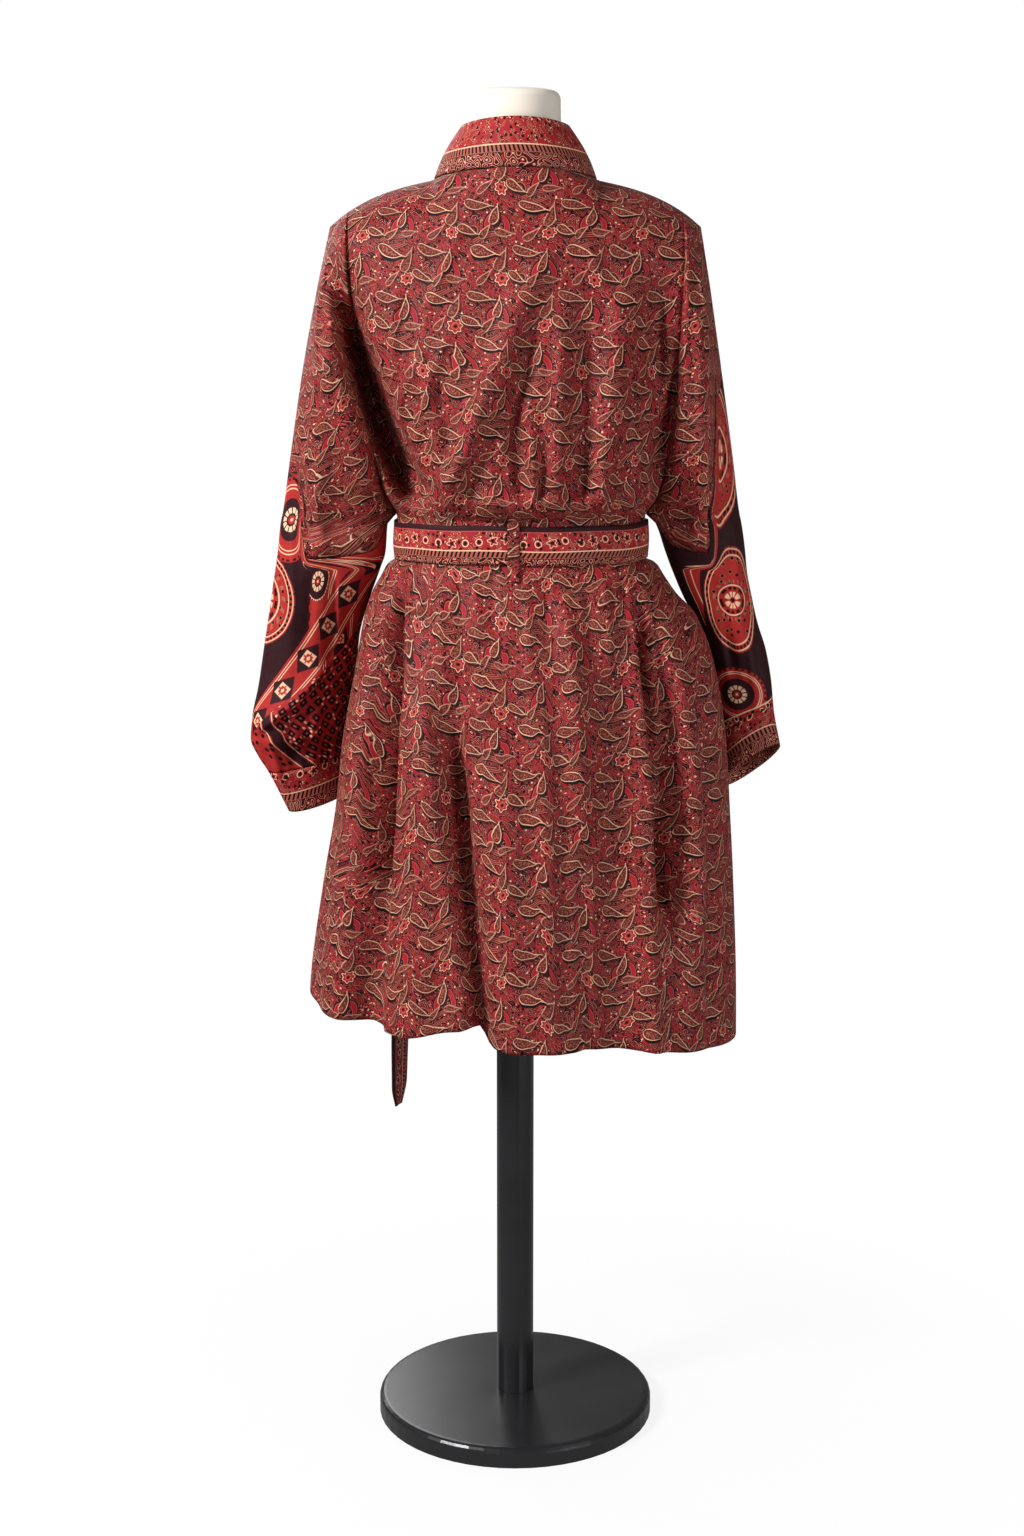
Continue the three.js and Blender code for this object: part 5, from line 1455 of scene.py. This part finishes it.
class KIMONO_OT_band(bpy.types.Operator):
    """Makes the neck band, in one length up one front, round the neck and down the other"""

    bl_idname = "kimono.band"
    bl_label = "Neck band"

    def execute(self, context):
        rows = band_half("left")
        rows += [collar_row(angle) for angle in np.linspace(np.pi / 2, -np.pi / 2, 61)]
        rows += band_half("right")[::-1]
        points = np.array(rows)
        middle = len(rows) // 2
        run = arc(points, 0)[:, [0]]
        run = np.broadcast_to(run - run[middle], points.shape[:2])
        up = np.broadcast_to(np.linspace(0, BAND_WIDTH * MM, BAND_STEPS + 1), run.shape)
        material = band_cloth("neck_band_print", 14.0, 8.0, 60.0)
        piece = cloth("collar_band_cloth", points, np.stack([run, up], -1), material,
                      "band_wall", (0, 0))
        dress(piece, ["collar_band"])
        return {"FINISHED"}


def belt_point(angle, z, out=0.0):
    left, right, back, front, _, _ = along(BODY, np.array(float(BELT_MID)))
    s, c = np.sin(angle), np.cos(angle)
    reach = np.where(s >= 0, left, right) + BELT_PROUD + out
    depth = np.where(c >= 0, back, front) + BELT_PROUD + out
    return np.stack([reach * s, depth * c, z + 0 * s], -1)


# hanging ends of the belt: height, x, distance off the cloth, heading in degrees, half width
LONG_TAIL = [
    (934.7, 78, 5, 8, 11), (918, 79, 6, 8, 16), (900, 80, 8, 10, 19), (840, 88, 9, 14, 20),
    (740, 101, 10, 20, 20), (640, 112, 10, 28, 20), (540, 122, 10, 40, 20), (460, 128, 9, 55, 20),
    (380, 132, 7, 66, 20), (330, 133, 6, 68, 19), (304, 134, 6, 68, 8),
]
SHORT_TAIL = [
    (934.7, 60, 5, 2, 6), (918, 52, 7, 0, 12), (895, 44, 8, -2, 19), (830, 40, 9, -4, 20),
    (740, 38, 9, -4, 20), (640, 36, 9, -4, 20), (560, 35, 9, -4, 20), (532, 35, 9, -4, 12),
]


def tail_points(table, steps):
    levels = np.linspace(table[0][0], table[-1][0], steps)
    x, out, turn, half = along(table, levels)
    left, _, _, front, _, _ = along(BODY, np.maximum(levels, 470))
    depth = front * np.sqrt(1 - (x / left) ** 2) + 9
    heading = np.radians(turn)
    wide = half[:, None] * np.linspace(-1, 1, 13)
    curl = 1.5 * np.cos(np.linspace(-1, 1, 13) * np.pi / 2)
    px = x[:, None] + wide * np.cos(heading)[:, None]
    py = -(depth + out)[:, None] + wide * np.sin(heading)[:, None] - curl
    return np.stack([px, py, np.broadcast_to(levels[:, None], px.shape)], -1)


class KIMONO_OT_belt(bpy.types.Operator):
    """Makes the belt, its knot, its two hanging ends and the thread loop at the back"""

    bl_idname = "kimono.belt"
    bl_label = "Belt"

    def execute(self, context):
        angle = np.linspace(0, 2 * np.pi, 241)[:-1]
        rows = []
        sway = 0.7 * np.sin(3 * angle + 0.6) + 0.4 * np.sin(8 * angle)
        for share in np.linspace(0, 1, 15):
            wrinkle = 0.5 * np.sin(11 * angle + 5 * share) * np.sin(5 * angle + 1)
            bow = (0.9 + wrinkle) * math.sin(math.pi * share)
            rows.append(belt_point(angle, mix(BELT_TOP, BELT_LOW, share) + sway, bow))
        points = np.array(rows)
        ring = np.concatenate([points, points[:, :1]], 1)
        up = np.broadcast_to(np.linspace(BELT_TOP - BELT_LOW, 0, 15)[:, None] * MM, ring.shape[:2])
        material = band_cloth("belt_print", 6.5, 7.0, 19.5)
        piece = cloth("belt_cloth", points, np.stack([arc(ring, 1), up], -1), material,
                      "belt_wall", (0, 0), closed=True)
        dress(piece, ["belt"])
        self.knot()
        for name, table, length in (("long", LONG_TAIL, 0.64), ("short", SHORT_TAIL, 0.41)):
            points = tail_points(table, 120)
            down = np.broadcast_to(arc(points, 0)[:, [6]], points.shape[:2])
            up = np.broadcast_to(np.linspace(0, 0.04, 13), down.shape)
            piece = cloth(f"belt_tail_{name}_cloth", points, np.stack([down, up], -1),
                          band_cloth("belt_print", 6.5, 7.0, 19.5), "band_wall", (points[0, 6, 0], 100))
            dress(piece, [f"belt_tail_{name}"])
        self.loop()
        return {"FINISHED"}

    def knot(self):
        left = along(BODY, np.array(float(BELT_MID)))[0]
        angle = math.pi - math.asin(KNOT_X / (left + 2.4))
        seat = belt_point(np.array(angle), 963.0, 0.4)
        outward = np.array([math.sin(angle), math.cos(angle) * 1.3, 0])
        outward /= np.linalg.norm(outward)
        sideways = np.array([-outward[1], outward[0], 0])
        centre = seat + KNOT_DEEP * outward
        t = np.linspace(-0.98, 0.98, 41)[:, None]
        a = np.linspace(0, 2 * np.pi, 73)[:-1][None, :]
        girth = np.sqrt(1 - t * t)
        groove = 1 - 0.10 * np.exp(-(((t - 0.35 * np.sin(a)) / 0.10) ** 2))
        groove = groove - 0.07 * np.exp(-(((t + 0.45 + 0.2 * np.sin(a)) / 0.09) ** 2))
        wide = KNOT_HALF * (0.35 + 0.65 * girth) * np.sin(a) * groove
        deep = KNOT_DEEP * (0.3 + 0.7 * girth) * np.cos(a) * groove
        points = centre + wide[..., None] * sideways + deep[..., None] * outward
        points[..., 2] = 961 + KNOT_TALL * t
        ring = np.concatenate([points, points[:, :1]], 1)
        places = np.stack([arc(ring, 1), 0.04 - arc(ring, 0) * 0.7], -1)
        material = band_cloth("belt_print", 6.5, 7.0, 19.5)
        piece = cloth("belt_knot_cloth", points, places, material, "band_wall",
                      centre[:2], closed=True)
        dress(piece, ["belt_knot"])

    def loop(self):
        share = np.linspace(0, 1, 40)
        z = mix(LOOP_TOP, LOOP_LOW, share)[:, None]
        across = np.linspace(-1, 1, 7)[None, :]
        x = LOOP_X + across * LOOP_HALF + 0 * z
        body = body_point(1, x, z + 0 * x)[..., 1]
        belt = belt_point(np.array(0.0), 0.0, 1.6)[1]
        over = smooth(np.sin(np.pi * share) * 1.9)[:, None]
        y = np.maximum(body + 1.8, mix(body + 1.8, belt, over)) + 1.2 + 0.8 * (1 - across**2)
        points = np.stack([x, y, z + 0 * x], -1)
        places = np.stack([x * MM, z * MM + 0 * x], -1)
        piece = cloth("belt_loop_cloth", points, places, paisley_cloth(), "jacket_wall", (LOOP_X, 0))
        dress(piece, ["belt_loop_back"])


# the neck cover: height and radius, from under the collar up over the rounded top edge
NECK_COVER = [
    (1346, 48.2), (1352, 47.6), (1362, 46.6), (1372, 45.9), (1385, 45.3), (1400, 45.1), (1403.2, 44.5),
    (1405.9, 42.7), (1407.8, 39.9), (1408.6, 36.6), (1408.9, 24), (1409, 8),
]
NECK_MID_Y, NECK_SIDES = 15, 96


class KIMONO_OT_stand(bpy.types.Operator):
    """Finishes the dress form, its neck cover, the pole and the round foot"""

    bl_idname = "kimono.stand"
    bl_label = "Form and stand"

    def execute(self, context):
        jersey = form_jersey()
        paint = painted_metal("black_metal")
        finishes = (("form_torso", jersey), ("neck_cap", jersey), ("pole", paint), ("foot", paint))
        for name, material in finishes:
            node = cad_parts[name]
            node.data.materials.clear()
            node.data.materials.append(material)
        self.cover(jersey)
        return {"FINISHED"}

    def cover(self, jersey):
        """Jersey drawn over the neck and its cap in one piece."""
        mesh = bmesh.new()
        turns = [2 * math.pi * i / NECK_SIDES for i in range(NECK_SIDES)]
        rings = [
            [
                mesh.verts.new((r * math.cos(t) * MM, (NECK_MID_Y + r * math.sin(t)) * MM, z * MM))
                for t in turns
            ]
            for z, r in NECK_COVER
        ]
        for low, high in zip(rings, rings[1:]):
            for i in range(NECK_SIDES):
                j = (i + 1) % NECK_SIDES
                mesh.faces.new((low[i], low[j], high[j], high[i]))
        mesh.faces.new(rings[-1])
        data = bpy.data.meshes.new("neck_cover")
        mesh.to_mesh(data)
        mesh.free()
        data.polygons.foreach_set("use_smooth", [True] * len(data.polygons))
        data.materials.append(jersey)
        piece = bpy.data.objects.new("neck_cover", data)
        bpy.context.scene.collection.objects.link(piece)
        shell = piece.modifiers.new("cloth", "SOLIDIFY")
        shell.thickness = 0.4 * MM
        shell.offset = -1
        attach(piece, "root")
        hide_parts("neck_cap")


# ---------------------------------------------------------------- stage


def floor_paint():
    """White floor that glows more with distance, so that it meets the white studio without an edge."""
    material = bpy.data.materials.new("floor_paint")
    material.use_nodes = True
    tree = material.node_tree
    shader = tree.nodes["Principled BSDF"]
    shader.inputs["Base Color"].default_value = (0.86, 0.86, 0.86, 1)
    shader.inputs["Roughness"].default_value = 0.9
    shader.inputs["Specular IOR Level"].default_value = 0.1
    glow, choose = tree.nodes.new("ShaderNodeEmission"), tree.nodes.new("ShaderNodeMixShader")
    x, y, _ = parts_of(tree, tree.nodes.new("ShaderNodeTexCoord").outputs["Object"])
    away = (x * x + y * y).does("SQRT")
    tree.links.new((1.0 - away.under(0.4, 0.35) * 0.14).socket, choose.inputs[0])
    seen = Amount(tree, tree.nodes.new("ShaderNodeLightPath").outputs["Is Camera Ray"])
    tree.links.new((seen * 0.8 + 0.2).socket, glow.inputs["Strength"])
    tree.links.new(shader.outputs[0], choose.inputs[1])
    tree.links.new(glow.outputs[0], choose.inputs[2])
    tree.links.new(choose.outputs[0], tree.nodes["Material Output"].inputs["Surface"])
    return material


class KIMONO_OT_stage(bpy.types.Operator):
    """Makes the pale floor, the soft studio lights and the camera"""

    bl_idname = "kimono.stage"
    bl_label = "Stage"

    def execute(self, context):
        scene = context.scene
        scene.view_settings.view_transform = "Standard"
        self.floor()
        self.lights()
        lens = bpy.data.cameras.new("camera")
        lens.lens, lens.sensor_width = scene.kimono_stage.lens, 36
        camera = bpy.data.objects.new("camera", lens)
        camera.location = (0.0035, 2.3965, 1.1573)
        camera.rotation_euler = (math.radians(90 - 10.349), 0, math.pi)
        scene.collection.objects.link(camera)
        scene.camera = camera
        return {"FINISHED"}

    def floor(self):
        mesh = bpy.data.meshes.new("floor")
        size = 14
        corners = [(-size, -size, 0), (size, -size, 0), (size, size, 0), (-size, size, 0)]
        mesh.from_pydata(corners, [], [(0, 1, 2, 3)])
        mesh.materials.append(floor_paint())
        floor = bpy.data.objects.new("floor", mesh)
        bpy.context.scene.collection.objects.link(floor)

    def lights(self):
        stage = bpy.context.scene.kimono_stage
        world = bpy.data.worlds.new("studio")
        bpy.context.scene.world = world
        world.use_nodes = True
        nodes, links = world.node_tree.nodes, world.node_tree.links
        seen, soft = nodes["Background"], nodes.new("ShaderNodeBackground")
        seen.inputs["Color"].default_value = (1, 1, 1, 1)
        seen.inputs["Strength"].default_value = 1.0
        soft.inputs["Color"].default_value = (1, 1, 1, 1)
        soft.inputs["Strength"].default_value = stage.around
        path, choose = nodes.new("ShaderNodeLightPath"), nodes.new("ShaderNodeMixShader")
        links.new(path.outputs["Is Camera Ray"], choose.inputs[0])
        links.new(soft.outputs[0], choose.inputs[1])
        links.new(seen.outputs[0], choose.inputs[2])
        links.new(choose.outputs[0], nodes["World Output"].inputs["Surface"])
        for name, place, size, power in (
            ("key", (2.5, 1.75, 2.6), 0.9, stage.key),
            ("fill", (-2.5, 2.3, 0.8), 1.5, stage.fill),
            ("front", (1.2, -2.8, 2.2), 2.2, stage.front),
            ("strip", (0.9, 2.5, 0.7), (0.2, 1.3), stage.strip),
        ):
            light = bpy.data.lights.new(name, "AREA")
            light.energy = power
            if isinstance(size, tuple):
                light.shape = "RECTANGLE"
                light.size, light.size_y = size
            else:
                light.size = size
            lamp = bpy.data.objects.new(name, light)
            lamp.location = place
            aim = Vector((0, 0, 0.95)) - Vector(place)
            lamp.rotation_euler = aim.to_track_quat("-Z", "Y").to_euler()
            bpy.context.scene.collection.objects.link(lamp)


class KIMONO_OT_prints(bpy.types.Operator):
    """Makes the prints and the weave that the cloths share"""

    bl_idname = "kimono.prints"
    bl_label = "Prints"

    def execute(self, context):
        make_weave()
        sizes = context.scene.kimono_cloth
        make_paisley_print(sizes.print_repeat / MM, sizes.print_row / MM)
        make_band_print()
        make_flower_disc()
        make_medallion()
        make_lozenge()
        return {"FINISHED"}


class KIMONO_PT_panel(bpy.types.Panel):
    """Lists the pieces of the jacket"""

    bl_idname = "KIMONO_PT_panel"
    bl_label = "Kimono jacket"
    bl_space_type = "VIEW_3D"
    bl_region_type = "UI"
    bl_category = "Kimono"

    def draw(self, context):
        for operator in OPERATORS:
            self.layout.operator(operator.bl_idname)
        for title in SETTINGS:
            settings = getattr(context.scene, title)
            box = self.layout.box()
            for name in settings.__annotations__:
                box.prop(settings, name)


OPERATORS = (
    KIMONO_OT_prints,
    KIMONO_OT_back,
    KIMONO_OT_fronts,
    KIMONO_OT_sleeves,
    KIMONO_OT_band,
    KIMONO_OT_belt,
    KIMONO_OT_stand,
    KIMONO_OT_stage,
)


SETTINGS = {"kimono_colours": KIMONO_colours, "kimono_cloth": KIMONO_cloth, "kimono_stage": KIMONO_stage}


def register():
    for item in (*SETTINGS.values(), *OPERATORS, KIMONO_PT_panel):
        bpy.utils.register_class(item)
    for title, kind in SETTINGS.items():
        setattr(bpy.types.Scene, title, bpy.props.PointerProperty(type=kind))


def unregister():
    for title in SETTINGS:
        delattr(bpy.types.Scene, title)
    for item in reversed((*SETTINGS.values(), *OPERATORS, KIMONO_PT_panel)):
        bpy.utils.unregister_class(item)


def main():
    register()
    bpy.ops.kimono.prints()
    bpy.ops.kimono.back()
    bpy.ops.kimono.fronts()
    bpy.ops.kimono.sleeves()
    bpy.ops.kimono.band()
    bpy.ops.kimono.belt()
    bpy.ops.kimono.stand()
    bpy.ops.kimono.stage()


if __name__ == "__main__":
    main()
